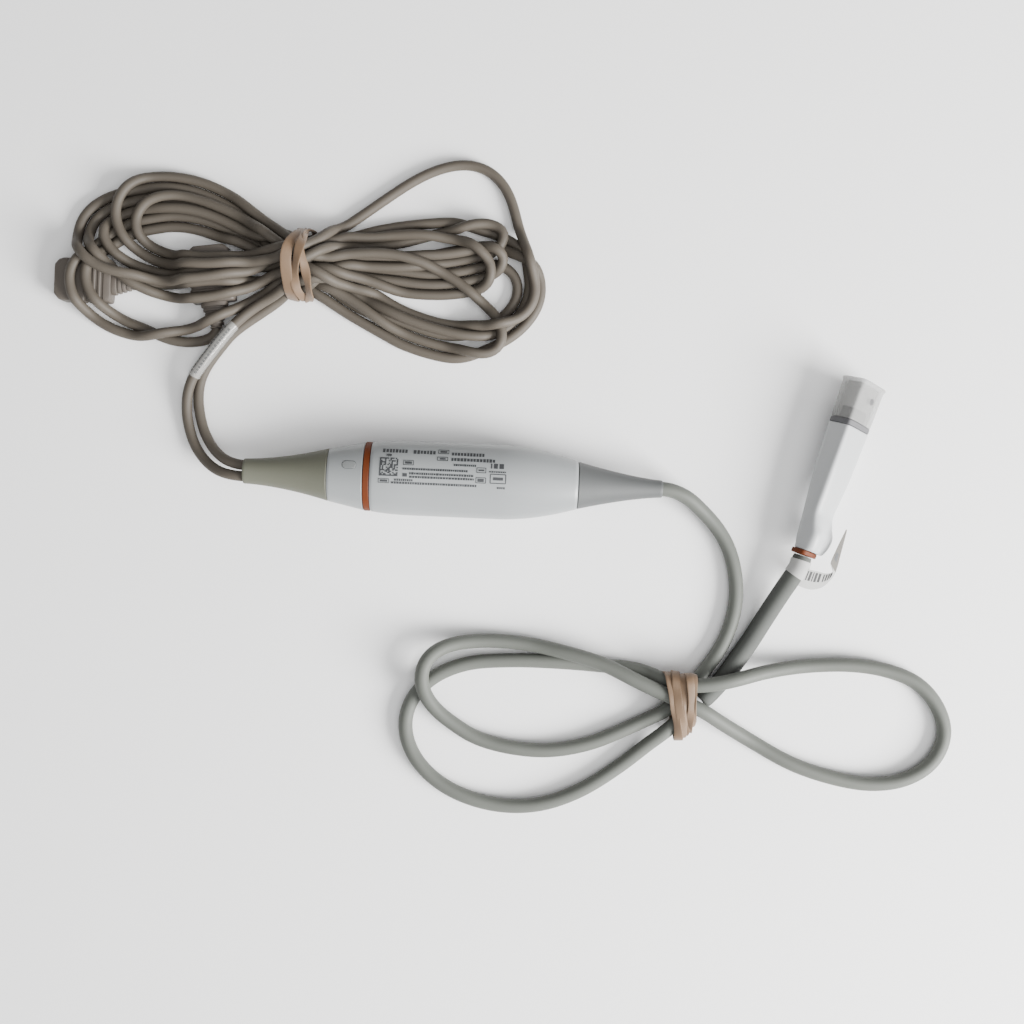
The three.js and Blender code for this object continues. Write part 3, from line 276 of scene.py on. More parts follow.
# The turns of the hank, seen from above: a height to start from, and the line of each turn. The
# first seven lie left of the band, out along the top and back below; the others right of it.
TURNS = {
    "A": (13, [(-88, 104), (-99, 110), (-110, 114), (-122, 115), (-132, 112), (-138, 106), (-139, 99),
        (-136, 90), (-128, 84), (-119, 80), (-105, 78), (-91, 79), (-76, 82)]),
    "B": (9, [(-76, 94), (-89, 102), (-100, 108), (-111, 111), (-121, 112), (-132, 109), (-142, 106),
        (-150, 101), (-154, 93), (-153, 85), (-148, 80), (-138, 75), (-127, 73), (-115, 72), (-102, 73),
        (-87, 76), (-75, 80)]),
    "C": (11, [(-76, 91), (-88, 98), (-99, 104), (-110, 108), (-119, 107), (-127, 104), (-132, 99),
        (-132, 94), (-129, 88), (-122, 84), (-111, 81), (-98, 82), (-88, 83), (-76, 84)]),
    "J": (5, [(-78, 91), (-91, 98), (-104, 103), (-117, 104), (-130, 103), (-141, 101), (-149, 97),
        (-151, 91), (-149, 85), (-140, 78), (-131, 73), (-119, 68), (-106, 65), (-95, 67), (-84, 71),
        (-74, 76)]),
    "I": (6, [(-77, 89), (-89, 96), (-100, 101), (-111, 103), (-121, 103), (-131, 102), (-140, 100),
        (-146, 97), (-147, 92), (-144, 86), (-138, 82), (-128, 78), (-116, 76), (-101, 77), (-88, 80),
        (-77, 83)]),
    "G": (4, [(-78, 89), (-89, 94), (-101, 99), (-112, 100), (-122, 100), (-131, 97), (-140, 91), (-148, 84),
        (-154, 78), (-155, 72), (-152, 64), (-145, 57), (-135, 52), (-124, 51), (-111, 53), (-99, 57),
        (-88, 63), (-77, 71)]),
    "H": (3, [(-78, 88), (-89, 91), (-101, 95), (-112, 96), (-122, 96), (-131, 93), (-139, 87), (-146, 82),
        (-149, 76), (-148, 69), (-143, 63), (-132, 56), (-121, 52.5)]),
    "r1": (12, [(-43, 101), (-32, 109), (-22, 117), (-11, 123), (0, 126), (8, 125), (14, 120), (18, 114),
        (20, 106), (20, 99), (23, 91), (28, 84), (31, 75), (29, 67), (22, 62), (12, 60), (1, 59), (-10, 61),
        (-27, 67), (-41, 72), (-54, 76)]),
    "r4": (12, [(-53, 90), (-38, 93), (-24, 95), (-12, 96), (0, 94), (10, 90), (18, 85), (22, 81), (19, 76),
        (11, 74), (-2, 74), (-14, 73), (-27, 75), (-40, 78), (-52, 80)]),
    "r7": (12, [(-54, 83), (-45, 86), (-35, 87), (-24, 87), (-13, 84), (-2, 78), (8, 71), (16, 64), (22, 56),
        (24, 50), (21, 46), (14, 46), (6, 49), (-4, 52), (-15, 55), (-26, 59), (-37, 65), (-48, 72)]),
    "r2": (9, [(-53, 87), (-39, 90), (-24, 93), (-10, 97), (4, 101), (14, 103.5), (21, 103), (25.5, 99),
        (24.5, 93.5), (18, 90), (8, 87.5), (-6, 85), (-20, 83), (-38, 82), (-53, 81)]),
    "r3": (7, [(-53, 87), (-39, 87), (-24, 85), (-10, 87), (1, 90), (11, 94), (18, 96), (24, 94.5),
        (26.5, 89.5), (23, 84), (14, 80.5), (2, 79), (-13, 78), (-27, 78), (-41, 80), (-53, 81)]),
    "r5": (5, [(-54, 90), (-41, 94), (-31, 98), (-21, 100), (-10, 101), (1, 100), (12, 99), (20, 95),
        (25, 89), (28, 80), (27, 72), (22, 64), (13, 58), (3, 56), (-8, 58), (-20, 61), (-34, 66),
        (-47, 72)]),
    "r8": (6, [(-53, 85), (-39, 86), (-24, 85), (-10, 87), (1, 91), (12, 94), (22, 92), (30, 85), (33, 77),
        (31, 69), (26, 63), (19, 57), (9, 50), (-3, 47), (-15, 50), (-30, 56), (-45, 64)]),
    "r6": (4, [(-43, 83), (-28, 81), (-13, 80), (-2, 81), (9, 86), (16, 90), (21, 88), (24, 82), (26, 75),
        (24, 67), (17, 61), (6, 57), (-5, 56), (-16, 58), (-31, 64), (-43, 69), (-55, 75)]),
}
# Each lead's way through the turns; between them it passes the band at (y, z).
WINDINGS = [
    [(75.5, 10.4), "r6", (85.8, 6.8), "A", (83.7, 13.8), "r1", (81.7, 6.8), "C", (87.8, 10.4), "r4",
     (79.6, 6.8), "J", (79.6, 13.8), "r2", (73.5, 3.2)],
    [(73.5, 6.8), "r3", (89.9, 3.2), "B", (89.9, 6.8), "r5", (85.8, 3.2), "I", (83.7, 10.4), "r7",
     (81.7, 3.2), "G", (79.6, 10.4), "r8", (77.6, 3.2), "H"],
]
LEAD_ENDS = [
    [(-76, 74.5, 3.4), (-88, 75, 3.4), (-104, 73.2, 3.6), (-118, 72, 3.7), (-126.8, 72, 3.7)],
    [(-112, 49.6, 2.6), (-104.5, 48, 2.8), (-98.8, 50, 3.2), (-96, 53.4, 3.6), (-95.5, 55.6, 3.7)],
]
BAND_X = -63
LEAD_SPACING = 2.4
SIDEWAYS = 0.3  # the share of a sideways push that moves a lead, as its neighbours hold it


def lead_route(which):
    route = list(LEAD_STARTS[which])
    for step in WINDINGS[which]:
        if isinstance(step, str):
            level, line = TURNS[step]
            route += [(x, y, level) for x, y in line]
        else:
            route += [(BAND_X, *step)]
    return route + LEAD_ENDS[which]


CONNECTORS = {"lead_connector_1": ((-159, 72), 180), "lead_connector_2": ((-100, 87.5), 98)}


def resting_height(at):
    """The lowest a lead's centre may lie: on the table, or over a connector and its boot."""
    height = np.full(len(at), LEAD_D / 2 + 0.05)
    for (cx, cy), heading in CONNECTORS.values():
        c, s = math.cos(math.radians(heading)), math.sin(math.radians(heading))
        along = (at[:, 0] - cx) * c + (at[:, 1] - cy) * s
        across = abs(-(at[:, 0] - cx) * s + (at[:, 1] - cy) * c)
        over_body = np.maximum(np.maximum(along, -22.4 - along), across - 8.5)
        past_boot = across - (31 + along) * 0.3 - 2.4
        over_boot = np.maximum(np.maximum(along + 20, -31 - along), past_boot)
        for outside, top in ((over_body, 7.4), (over_boot, 6.2)):
            ease = np.clip(1 - outside / 3.2, 0, 1)
            height = np.maximum(height, LEAD_D / 2 + 0.1 + top * ease * ease * (3 - 2 * ease))
    band = np.clip(1 - (abs(at[:, 0] - BAND_X) - 5) / 14, 0, 1) * (abs(at[:, 1] - 81) < 24)
    return np.maximum(height, LEAD_D / 2 + 0.05 + 1.1 * band * band * (3 - 2 * band))


def eased_bends(path, least, hold=14, rounds=500):
    """The path with any bend tighter than the least radius opened out."""
    p = path.copy()
    for _ in range(rounds):
        first = (p[2:] - p[:-2]) / 2
        second = p[2:] - 2 * p[1:-1] + p[:-2]
        speed = np.maximum(np.linalg.norm(first, axis=1), 1e-6)
        tight = np.linalg.norm(np.cross(first, second), axis=1) / speed**3 > 1 / least
        tight[:hold] = tight[-3:] = False
        if not tight.any():
            break
        near = np.convolve(tight, np.ones(13), "same") > 0
        near[:hold] = near[-2:] = False
        p[1:-1] += 0.25 * near[:, None] * second
    return p


def settle(leads, pinned, rounds=260):
    """Lets the leads sink on to the table and each other, as stiff cords of one thickness do."""
    home = np.vstack(leads)
    at = home.copy()
    count = len(home)
    cord = np.concatenate([np.full(len(p), i) for i, p in enumerate(leads)])
    place = np.concatenate([np.arange(len(p)) for p in leads])
    inner = np.ones(count, bool)
    inner[[0, len(leads[0]) - 1, len(leads[0]), count - 1]] = False
    free = ~pinned
    inside = np.where(inner & free)[0]
    need = LEAD_D + 0.25
    for step in range(rounds):
        if step % 8 == 0:
            gap = at[:, None] - at[None]
            close = (gap**2).sum(axis=2) < (need + 4) ** 2
            apart_by = abs(place[:, None] - place[None]) * LEAD_SPACING
            along = (cord[:, None] == cord[None]) & (apart_by < 3 * LEAD_D)
            one, other = np.where(np.triu(close & ~along))
            above = 0.35 * np.sign(home[one, 2] - home[other, 2])
        calm = 1 if step < rounds - 70 else 0.25
        at[free, :2] += 0.12 * calm * (home[free, :2] - at[free, :2])
        at[free, 2] -= 0.2 * calm
        for _ in range(2):
            at[inside] += 0.35 * calm * ((at[inside - 1] + at[inside + 1]) / 2 - at[inside])
        for _ in range(4):
            gap = at[one] - at[other]
            gap[:, 2] += above
            apart = np.maximum(np.linalg.norm(gap, axis=1), 1e-6)
            touching = apart < need
            push = (np.where(touching, need - apart, 0) / apart)[:, None] * gap * 0.5
            shift = np.zeros_like(at)
            np.add.at(shift, one, push)
            np.add.at(shift, other, -push)
            hits = np.bincount(np.concatenate([one[touching], other[touching]]), minlength=count)
            shift[:, :2] *= SIDEWAYS
            at[free] += 1.2 * (shift / np.maximum(hits, 1)[:, None])[free]
            at[free, 2] = np.maximum(at[free, 2], resting_height(at[free]))
    split = len(leads[0])
    return [at[:split], at[split:]]


lead_paths = [eased_bends(smoothed(catmull(lead_route(i), 1.2), 8, 30), 7, 30, 60) for i in (0, 1)]
lead_paths = [evenly(path, LEAD_SPACING) for path in lead_paths]


def pinned_points(leads):
    """The points that stay where they are: each lead's way to the hank, and its last points."""
    pins = []
    for path, start in zip(leads, LEAD_STARTS):
        fixed = np.zeros(len(path), bool)
        fixed[: int(np.argmin(np.linalg.norm(path - np.array(start[-1]), axis=1))) - 1] = True
        fixed[-3:] = True
        pins.append(fixed)
    return np.concatenate(pins)


lead_paths = settle(lead_paths, pinned_points(lead_paths))
lead_paths = [eased_bends(smoothed(catmull(p, 1.2), 12), 6.5, 14, 60) for p in lead_paths]
lead_paths = [evenly(path, LEAD_SPACING) for path in lead_paths]
lead_paths = settle(lead_paths, pinned_points(lead_paths), 120)
lead_paths = [evenly(smoothed(catmull(p, 1.2), 4), 1.6) for p in lead_paths]
host_path = evenly(smoothed(catmull(HOST_ROUTE, 1.0), 12), 2.0)


def cord_tube(name, path, diameter):
    radii = np.full(len(path), diameter / 2)
    radii[[0, -1]] -= 0.3
    return loft(name, tube_rings(path, radii, 28))


host_cord = cord_tube("host_cord_jacket", host_path, HOST_D)
leads = [cord_tube(f"lead_{i + 1}_jacket", path, LEAD_D) for i, path in enumerate(lead_paths)]

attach(host_cord, BODY)
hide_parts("host_cord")
for i, lead in enumerate(leads):
    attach(lead, BODY)
    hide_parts(f"lead_{i + 1}", "lead_hank")

# ---- materials


def material(name, color, rough, grain=(1800, 0.05), mottle=0.04, sheen=0.0, coat=0.0, metal=0.0,
             rough_spread=0.06, transmission=0.0, subsurface=0.0, alpha=1.0, dust=0.0, specular=0.5):
    """A moulded or drawn surface: fine grain in the bump, faint mottling, uneven gloss."""
    m = bpy.data.materials.new(name)
    m.use_nodes = True
    nodes, links = m.node_tree.nodes, m.node_tree.links
    shader = nodes["Principled BSDF"]
    place = nodes.new("ShaderNodeTexCoord")

    def noise(scale, detail):
        n = nodes.new("ShaderNodeTexNoise")
        n.inputs["Scale"].default_value = scale
        n.inputs["Detail"].default_value = detail
        links.new(place.outputs["Object"], n.inputs["Vector"])
        return n

    broad = noise(60, 3)
    ramp = nodes.new("ShaderNodeValToRGB")
    ramp.color_ramp.elements[0].position = 0.3
    ramp.color_ramp.elements[1].position = 0.72
    ramp.color_ramp.elements[0].color = (*[c * (1 - mottle) for c in color], 1)
    ramp.color_ramp.elements[1].color = (*[min(1, c * (1 + mottle)) for c in color], 1)
    links.new(broad.outputs["Fac"], ramp.inputs["Fac"])
    tint = ramp.outputs["Color"]
    if dust:
        specks = noise(2600, 2)
        pick = nodes.new("ShaderNodeValToRGB")
        pick.color_ramp.elements[0].position = 0.66
        pick.color_ramp.elements[1].position = 0.72
        links.new(specks.outputs["Fac"], pick.inputs["Fac"])
        blend = nodes.new("ShaderNodeMix")
        blend.data_type = "RGBA"
        blend.blend_type = "MULTIPLY"
        scale = nodes.new("ShaderNodeMath")
        scale.operation = "MULTIPLY"
        scale.inputs[1].default_value = dust
        links.new(pick.outputs["Color"], scale.inputs[0])
        links.new(scale.outputs[0], blend.inputs["Factor"])
        links.new(tint, blend.inputs["A"])
        blend.inputs["B"].default_value = (0.45, 0.42, 0.38, 1)
        tint = blend.outputs["Result"]
    links.new(tint, shader.inputs["Base Color"])
    gloss = nodes.new("ShaderNodeMapRange")
    gloss.inputs["To Min"].default_value = max(0.02, rough - rough_spread)
    gloss.inputs["To Max"].default_value = min(1, rough + rough_spread)
    links.new(noise(420, 4).outputs["Fac"], gloss.inputs["Value"])
    links.new(gloss.outputs["Result"], shader.inputs["Roughness"])
    bump = nodes.new("ShaderNodeBump")
    bump.inputs["Strength"].default_value = grain[1]
    bump.inputs["Distance"].default_value = 0.0001
    links.new(noise(grain[0], 2).outputs["Fac"], bump.inputs["Height"])
    links.new(bump.outputs["Normal"], shader.inputs["Normal"])
    shader.inputs["Metallic"].default_value = metal
    shader.inputs["Specular IOR Level"].default_value = specular
    shader.inputs["Sheen Weight"].default_value = sheen
    shader.inputs["Coat Weight"].default_value = coat
    shader.inputs["Coat Roughness"].default_value = 0.25
    shader.inputs["Transmission Weight"].default_value = transmission
    shader.inputs["Subsurface Weight"].default_value = subsurface
    shader.inputs["Subsurface Scale"].default_value = 0.002
    shader.inputs["Alpha"].default_value = alpha
    return m


M = {
    "white_shell": material("shell_white", (0.262, 0.275, 0.279), 0.36, (2400, 0.12), 0.012),
    "plug_white": material("plug_white", (0.40, 0.41, 0.415), 0.42, (2400, 0.12), 0.012, dust=0.25),
    "rust_ring": material("ring_rust", (0.095, 0.019, 0.002), 0.6, (2400, 0.12), 0.05, specular=0.25),
    "window": material("window_milky", (0.34, 0.355, 0.355), 0.22, (900, 0.02), 0.01, transmission=0.35),
    "sage_boot": material("boot_sage", (0.098, 0.1, 0.074), 0.6, (1500, 0.3), 0.03),
    "grey_boot": material("boot_grey", (0.083, 0.087, 0.087), 0.56, (1500, 0.3), 0.03),
    "host_cord": material("cord_green_grey", (0.098, 0.104, 0.092), 0.6, (1300, 0.25), 0.05, specular=0.35),
    "lead": material("lead_taupe", (0.072, 0.061, 0.048), 0.62, (1500, 0.25), 0.06, specular=0.35),
    "lead_moulding": material("connector_taupe", (0.085, 0.072, 0.06), 0.55, (1300, 0.4), 0.03),
    "band": material("band_tan", (0.13, 0.078, 0.041), 0.62, (1100, 0.5), 0.11, sheen=0.15, rough_spread=0.1),
    "gasket": material("gasket_grey", (0.08, 0.08, 0.085), 0.6, (1500, 0.2), 0.03),
    "nose": material("nose_grey", (0.06, 0.062, 0.07), 0.5, (1500, 0.2), 0.03),
    "cap": material("cap_frosted", (0.30, 0.30, 0.292), 0.5, (1500, 0.25), 0.02, alpha=0.5, specular=0.35),
    "paper": material("paper_white", (0.37, 0.37, 0.36), 0.8, (900, 0.35), 0.02),
    # Painted shade: the label tail's back faces away from the light, so its white paper is coloured a dark
    # taupe.
    "paper_tail_painted_shade": material("paper_painted_shade", (0.10, 0.094, 0.083), 0.75, (900, 0.35), 0.05),
    # Painted shade: the strain relief is the cord's grey, made darker because the sleeve lies in shade.
    "sleeve_painted_shade": material("sleeve_painted_shade", (0.07, 0.074, 0.068), 0.74, (1500, 0.3), 0.03, specular=0.3),
    "cap_dark": material("cap_thick", (0.07, 0.07, 0.072), 0.45, (1500, 0.25), 0.02),
    "ink": material("ink_grey", (0.035, 0.037, 0.04), 0.5, (900, 0.1), 0.1),
    "ink_black": material("ink_black", (0.015, 0.015, 0.016), 0.6, (900, 0.1), 0.1),
    "clear": material("sleeve_clear", (0.62, 0.62, 0.6), 0.1, (900, 0.03), 0.01, alpha=0.2, coat=0.6),
    "seal": material("seal_dark", (0.04, 0.04, 0.045), 0.7, (1500, 0.2), 0.05),
    "board": material("board_green", (0.02, 0.12, 0.05), 0.4, (700, 0.1), 0.1),
    "tin": material("tinned", (0.55, 0.56, 0.57), 0.3, (900, 0.1), 0.05, metal=1.0),
    "chip": material("chip_black", (0.02, 0.02, 0.022), 0.55, (900, 0.2), 0.1),
    "ivory": material("header_ivory", (0.70, 0.66, 0.56), 0.5, (900, 0.1), 0.03),
    "gold": material("contact_gold", (0.75, 0.52, 0.2), 0.28, (900, 0.05), 0.05, metal=1.0),
}
WIRES = [material(f"wire_{i}", c, 0.5, (900, 0.1), 0.03)
         for i, c in enumerate([(0.4, 0.03, 0.02), (0.75, 0.72, 0.65), (0.03, 0.15, 0.4), (0.03, 0.03, 0.03)])]


def dress(piece, key):
    piece.data.materials.clear()
    piece.data.materials.append(M[key])
    return piece


def place(piece, key, slot, *nodes, body=BODY):
    dress(piece, key)
    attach(piece, body)
    if nodes:
        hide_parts(*nodes)
    return piece


host_cord.data.materials.append(M["host_cord"])
for lead in leads:
    lead.data.materials.append(M["lead"])


def repaint(node, m):
    """A CAD node that shows as it is gets a better material."""
    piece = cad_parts[node]
    for s in piece.material_slots:
        s.link = "OBJECT"
        s.material = m
    piece.data.shade_smooth()
    piece.data.set_sharp_from_angle(angle=math.radians(35))


# ---- the pod's casings

GAP = 0.1
WALL = 1.8
SEAM_EDGE = 0.18  # the small round at each parting line


def pod_ring(x, inset=0.0, **options):
    half = half_width(x)
    return ring(x, half - inset, half * flatness(x) - inset, z=AXIS, **options)


def flattened(rings):
    """The underside is cut flat where the pod lies on it."""
    return [[Vector((p.x, p.y, max(p.z, 0.0))) for p in r] for r in rings]


def shell_half(name, upper):
    """Half of the main housing: the outer arc and the inner arc of each section, as one band."""
    start = 0 if upper else 0.5
    rings = []
    lift = 0.06 if upper else -0.06
    ends = (RING_END + GAP, HOST_SEAM - GAP)
    middle = stations(RING_END + 1.5, HOST_SEAM - 1.5, 56)
    for x in [ends[0], RING_END + 0.35, *middle, HOST_SEAM - 0.35, ends[1]]:
        edge = SEAM_EDGE if x in ends else 0.0
        outer = pod_ring(x, edge, count=72, start=start, turn=0.5)
        inner = pod_ring(x, WALL, count=72, start=start, turn=0.5)
        rings.append([p + Vector((0, 0, lift)) for p in [*outer, *reversed(inner)]])
    return loft(name, rings if upper else flattened(rings), smooth_angle=40)


place(shell_half("housing_top", True), "white_shell", "white_shell", "upper_housing")
place(shell_half("housing_base", False), "white_shell", "white_shell", "lower_housing")


def tapered(first, last, steps, edge=SEAM_EDGE):
    """Outer rings between two seams, with a small round at each."""
    inner_steps = stations(first + 1.2, last - 1.2, steps)
    xs = [first, first + 0.3, *inner_steps, last - 0.3, last]
    return [pod_ring(x, edge if x in (first, last) else 0.0) for x in xs]


patient = tapered(LEAD_SEAM + GAP, RING_START - GAP, 10)
patient_inner = [pod_ring(x, WALL) for x in stations(LEAD_SEAM + GAP, RING_START - GAP, 4)]
patient_end = sleeve("patient_end_casing", flattened(patient), patient_inner)

WINDOW_X, WINDOW_Y, WINDOW_HALF, WINDOW_REACH = -39.2, 3.9, 1.45, 1.25


def pill(name, grow, low, proud):
    """A rounded slot, its top following the casing."""
    outline = []
    for end in (1, -1):
        for i in range(17):
            a = (0 if end == 1 else math.pi) + (i / 16 - 0.5) * math.pi
            outline.append((WINDOW_X + end * WINDOW_REACH + (WINDOW_HALF + grow) * math.cos(a),
                            WINDOW_Y + (WINDOW_HALF + grow) * math.sin(a)))

    def level(shrink, height):
        out = []
        for x, y in outline:
            cx, cy = mix(x, WINDOW_X, shrink), mix(y, WINDOW_Y, shrink)
            out.append(Vector((cx, cy, low if height is None else pod_top(cx, cy) + height)))
        return out

    return loft(name, [level(0, None), level(0, proud - 0.12), level(0.05, proud - 0.02), level(0.16, proud)])


carve(patient_end, pill("window_cut", 0.12, 16.0, 3.0))
place(patient_end, "white_shell", "white_shell", "patient_end_housing")
place(pill("status_lens", -0.02, 17.5, 0.14), "window", "window_diffuser", "status_window")

ring_xs = [RING_START + GAP, RING_START + 0.35, RING_END - 0.35, RING_END - GAP]
ring_outer = [ring(x, HALF["ring"] - e, HALF["ring"] * FLATNESS - e, z=AXIS)
              for x, e in zip(ring_xs, (0.15, -0.02, -0.02, 0.15))]
ring_inner = [ring(x, HALF["ring"] - WALL, HALF["ring"] * FLATNESS - WALL, z=AXIS) for x in ring_xs]
place(sleeve("rust_collar", flattened(ring_outer), ring_inner), "rust_ring", "rust_ring", "colour_ring")


def boot(name, tip, seam, direction, tip_half, tip_flat, bores, key, slot, node):
    """A soft boot, rounded over at its tip, with a hole for each cord."""
    span = stations(tip + direction * 1.2, seam - direction * 1.2, 40)
    rings = [ring(tip, tip_half - 0.55, tip_half * tip_flat - 0.55, z=AXIS),
             pod_ring(tip + direction * 0.18, 0.16), pod_ring(tip + direction * 0.55, 0.02)]
    rings += [pod_ring(x) for x in [*span, seam - direction * 0.3]]
    rings += [pod_ring(seam, SEAM_EDGE), pod_ring(seam, 2.6)]
    piece = loft(name, rings)
    for i, (y, radius) in enumerate(bores):
        hole = [ring(tip + direction * deep, radius, radius, y=y, z=AXIS, count=40) for deep in (-2, 8)]
        carve(piece, loft(f"{name}_hole_{i}", hole))
    return place(piece, key, slot, node)


boot("lead_end_boot", -POD_HALF, LEAD_SEAM - GAP, 1, HALF["lead_tip"], FLATNESS,
     [(-LEAD_SIDE, 2.04), (LEAD_SIDE, 2.04)], "sage_boot", "sage_boot", "lead_boot")
boot("host_end_boot", POD_HALF, HOST_SEAM + GAP, -1, HALF["host_tip"], 1.0,
     [(0, 2.86)], "grey_boot", "grey_boot", "host_boot")

# ---- the rating print, as plain marks


def on_pod(x, y, lift):
    return Vector((x, y, pod_top(x, y) + lift))


def prints(name, marks, key="ink"):
    """Thin marks that follow the top of the pod: each is x, y of its middle, length and height."""
    vertices, faces = [], []
    for x, y, length, height in marks:
        columns = max(1, int(length / 1.5))
        rows = max(1, int(height / 1.0))
        grid = {}
        for side, lift in ((0, 0.17), (1, 0.0)):
            for i in range(columns + 1):
                for j in range(rows + 1):
                    grid[side, i, j] = len(vertices)
                    at = (x + (i / columns - 0.5) * length, y + (j / rows - 0.5) * height)
                    vertices.append(on_pod(*at, lift))
        for side in (0, 1):
            for i in range(columns):
                for j in range(rows):
                    corners = ((i, j), (i + 1, j), (i + 1, j + 1), (i, j + 1))
                    faces.append([grid[(side, *corner)] for corner in corners])
        border = [(i, 0) for i in range(columns)] + [(columns, j) for j in range(rows)]
        border += [(i, rows) for i in range(columns, 0, -1)] + [(0, j) for j in range(rows, 0, -1)]
        for (i, j), (k, l) in zip(border, border[1:] + border[:1]):
            faces.append([grid[0, i, j], grid[0, k, l], grid[1, k, l], grid[1, i, j]])
    return place(new_piece(name, vertices, faces, 20), key, "white_shell")


rng = np.random.default_rng(7)


def dashes(x0, x1, y, height, least=0.5, most=1.6, gap=0.3):
    """A row of short bars, where the real object has a line of print."""
    out = []
    x = x0
    while x < x1 - least:
        length = min(rng.uniform(least, most), x1 - x)
        out.append((x + length / 2, y, length, height * rng.uniform(0.8, 1.0)))
        x += length + gap
    return out


def outline(x0, x1, y0, y1, line):
    return [((x0 + x1) / 2, y0, x1 - x0, line), ((x0 + x1) / 2, y1, x1 - x0, line),
            (x0, (y0 + y1) / 2, line, y1 - y0), (x1, (y0 + y1) / 2, line, y1 - y0)]


def data_square(x0, y0, cell, cells):
    """A square of random cells with two solid sides."""
    out = []
    for i in range(cells):
        for j in range(cells):
            far_sides = (i == cells - 1 and j % 2 == 0) or (j == cells - 1 and i % 2 == 0)
            solid = i == 0 or j == 0 or far_sides
            if solid or rng.random() < 0.48:
                out.append((x0 + (i + 0.5) * cell, y0 + (j + 0.5) * cell, cell * 1.02, cell * 1.02))
    return out


print_marks = [  # in this order, as each row of dashes draws from the same seed
    *dashes(-26.6, -16.2, 9.9, 1.5, 0.7, 1.05, 0.36),
    *dashes(-14.9, -5.6, 9.8, 1.5, 0.7, 1.05, 0.36),
    *outline(-5.5, -1.6, 9.6, 11.0, 0.22),
    (-3.5, 10.3, 2.6, 0.7),
    *dashes(-0.4, 12.4, 9.6, 1.35, 0.7, 1.0, 0.32),
    *outline(-5.7, -1.8, 6.9, 8.2, 0.22),
    (-3.7, 7.55, 2.2, 0.6),
    *dashes(-0.4, 16.4, 7.5, 1.35, 0.7, 1.0, 0.32),
    *[(-24.9 + 0.35 * i, 8.2, 0.28, h) for i, h in enumerate((0.9, 0.5, 1.2, 0.7, 1.1, 0.6))],
    *data_square(-27.4, 0.2, 0.5, 14),
    *outline(-18.4, -14.6, 4.7, 6.4, 0.2),
    (-16.5, 5.55, 2.6, 0.9),
    *dashes(0.6, 9.0, 5.4, 0.85, 0.35, 0.8, 0.22),
    *dashes(-18.6, 6.4, 3.2, 0.85, 0.35, 0.8, 0.2),
    (-17.7, 0.85, 1.7, 1.3),
    *dashes(-16.0, 8.4, 1.5, 0.9, 0.4, 1.0, 0.24),
    *dashes(-16.0, 8.4, 0.2, 0.9, 0.4, 1.0, 0.24),
    *dashes(-21.6, -14.4, -1.1, 0.85, 0.45, 0.7, 0.25),
    *outline(-27.6, -23.6, -2.4, -0.9, 0.2),
    (-25.6, -1.65, 2.8, 0.8),
    *dashes(-22.8, 9.6, -2.2, 0.9, 0.4, 1.0, 0.24),
    *outline(9.2, 12.9, -1.0, 1.0, 0.22),
    (11.0, 0.0, 2.4, 1.2),
    *outline(9.4, 12.8, 2.9, 4.7, 0.22),
    (11.1, 3.8, 2.2, 0.6),
    (14.9, 5.6, 0.5, 1.9), (16.5, 5.6, 1.5, 1.9), (18.7, 5.6, 1.7, 1.9),
    *dashes(14.0, 20.4, 3.4, 0.6, 0.4, 0.8, 0.2),
    *outline(14.6, 20.4, -0.9, 2.5, 0.3),
    (17.5, 0.8, 3.8, 1.1),
    *dashes(17.2, 20.6, -2.6, 0.8, 0.45, 0.7, 0.22),
]
prints("rating_marks", print_marks)

# ---- the marker sleeve on the first lead

lead_1 = lead_paths[0]
MARKER_FROM, MARKER_TO = (-103.6, 36.6), (-89.0, 56.6)
nearest = [int(np.argmin(np.hypot(lead_1[:60, 0] - x, lead_1[:60, 1] - y)))
           for x, y in (MARKER_FROM, MARKER_TO)]
marker_path = evenly(smoothed(lead_1[nearest[0] : nearest[1] + 1], 10, 2), 1.0)
n = len(marker_path)
outer = [2.5] * n
outer[0] = outer[-1] = 2.42
place(sleeve("marker_tube", tube_rings(marker_path, outer), tube_rings(marker_path, [2.14] * n)),
      "clear", "clear_sleeve", "marker_sleeve")


def marks_round(name, path, radius, marks, key):
    """Small printed bars lying on a tube: each is where it starts along it, how far round, and its size."""
    _, sides, ups = frames(path)
    run = lengths(path)
    vertices, faces = [], []
    for start, angle, length, height in marks:
        first = len(vertices)
        for lift in (0.02, -0.06):
            for d, a in ((0, -0.5), (1, -0.5), (1, 0.5), (0, 0.5)):
                at = start + d * length
                i = min(int(np.searchsorted(run, at)), len(path) - 1)
                point = np.array([np.interp(at, run, path[:, k]) for k in range(3)])
                turn = angle + a * height / radius
                out = math.cos(turn) * sides[i] + math.sin(turn) * ups[i]
                vertices.append(Vector(point + (radius + lift) * out))
        faces += [tuple(first + k for k in q) for q in
                  ((0, 1, 2, 3), (7, 6, 5, 4), (0, 4, 5, 1), (1, 5, 6, 2), (2, 6, 7, 3), (3, 7, 4, 0))]
    return place(new_piece(name, vertices, faces, 20), key, "clear_sleeve")


run_length = lengths(marker_path)[-1]
marker_marks = []
x = 1.6
while x < run_length - 2.4:
    wide = rng.uniform(0.7, 1.2)
    marker_marks.append((x, 1.35, wide, 0.75))
    marker_marks.append((x + 0.1, 2.15, wide * 0.8, 0.55))
    x += wide + 0.42
marks_round("marker_bars", marker_path, 2.5, marker_marks, "ink_black")

# ---- rubber bands


def hull(points):
    """The corners of the tight loop round a set of points, in order."""
    points = sorted(map(tuple, points))

    def half(run):
        out = []
        for p in run:
            while len(out) > 1 and ((out[-1][0] - out[-2][0]) * (p[1] - out[-2][1])
                                    - (out[-1][1] - out[-2][1]) * (p[0] - out[-2][0])) <= 0:
                out.pop()
            out.append(p)
        return out[:-1]

    return half(points) + half(points[::-1])


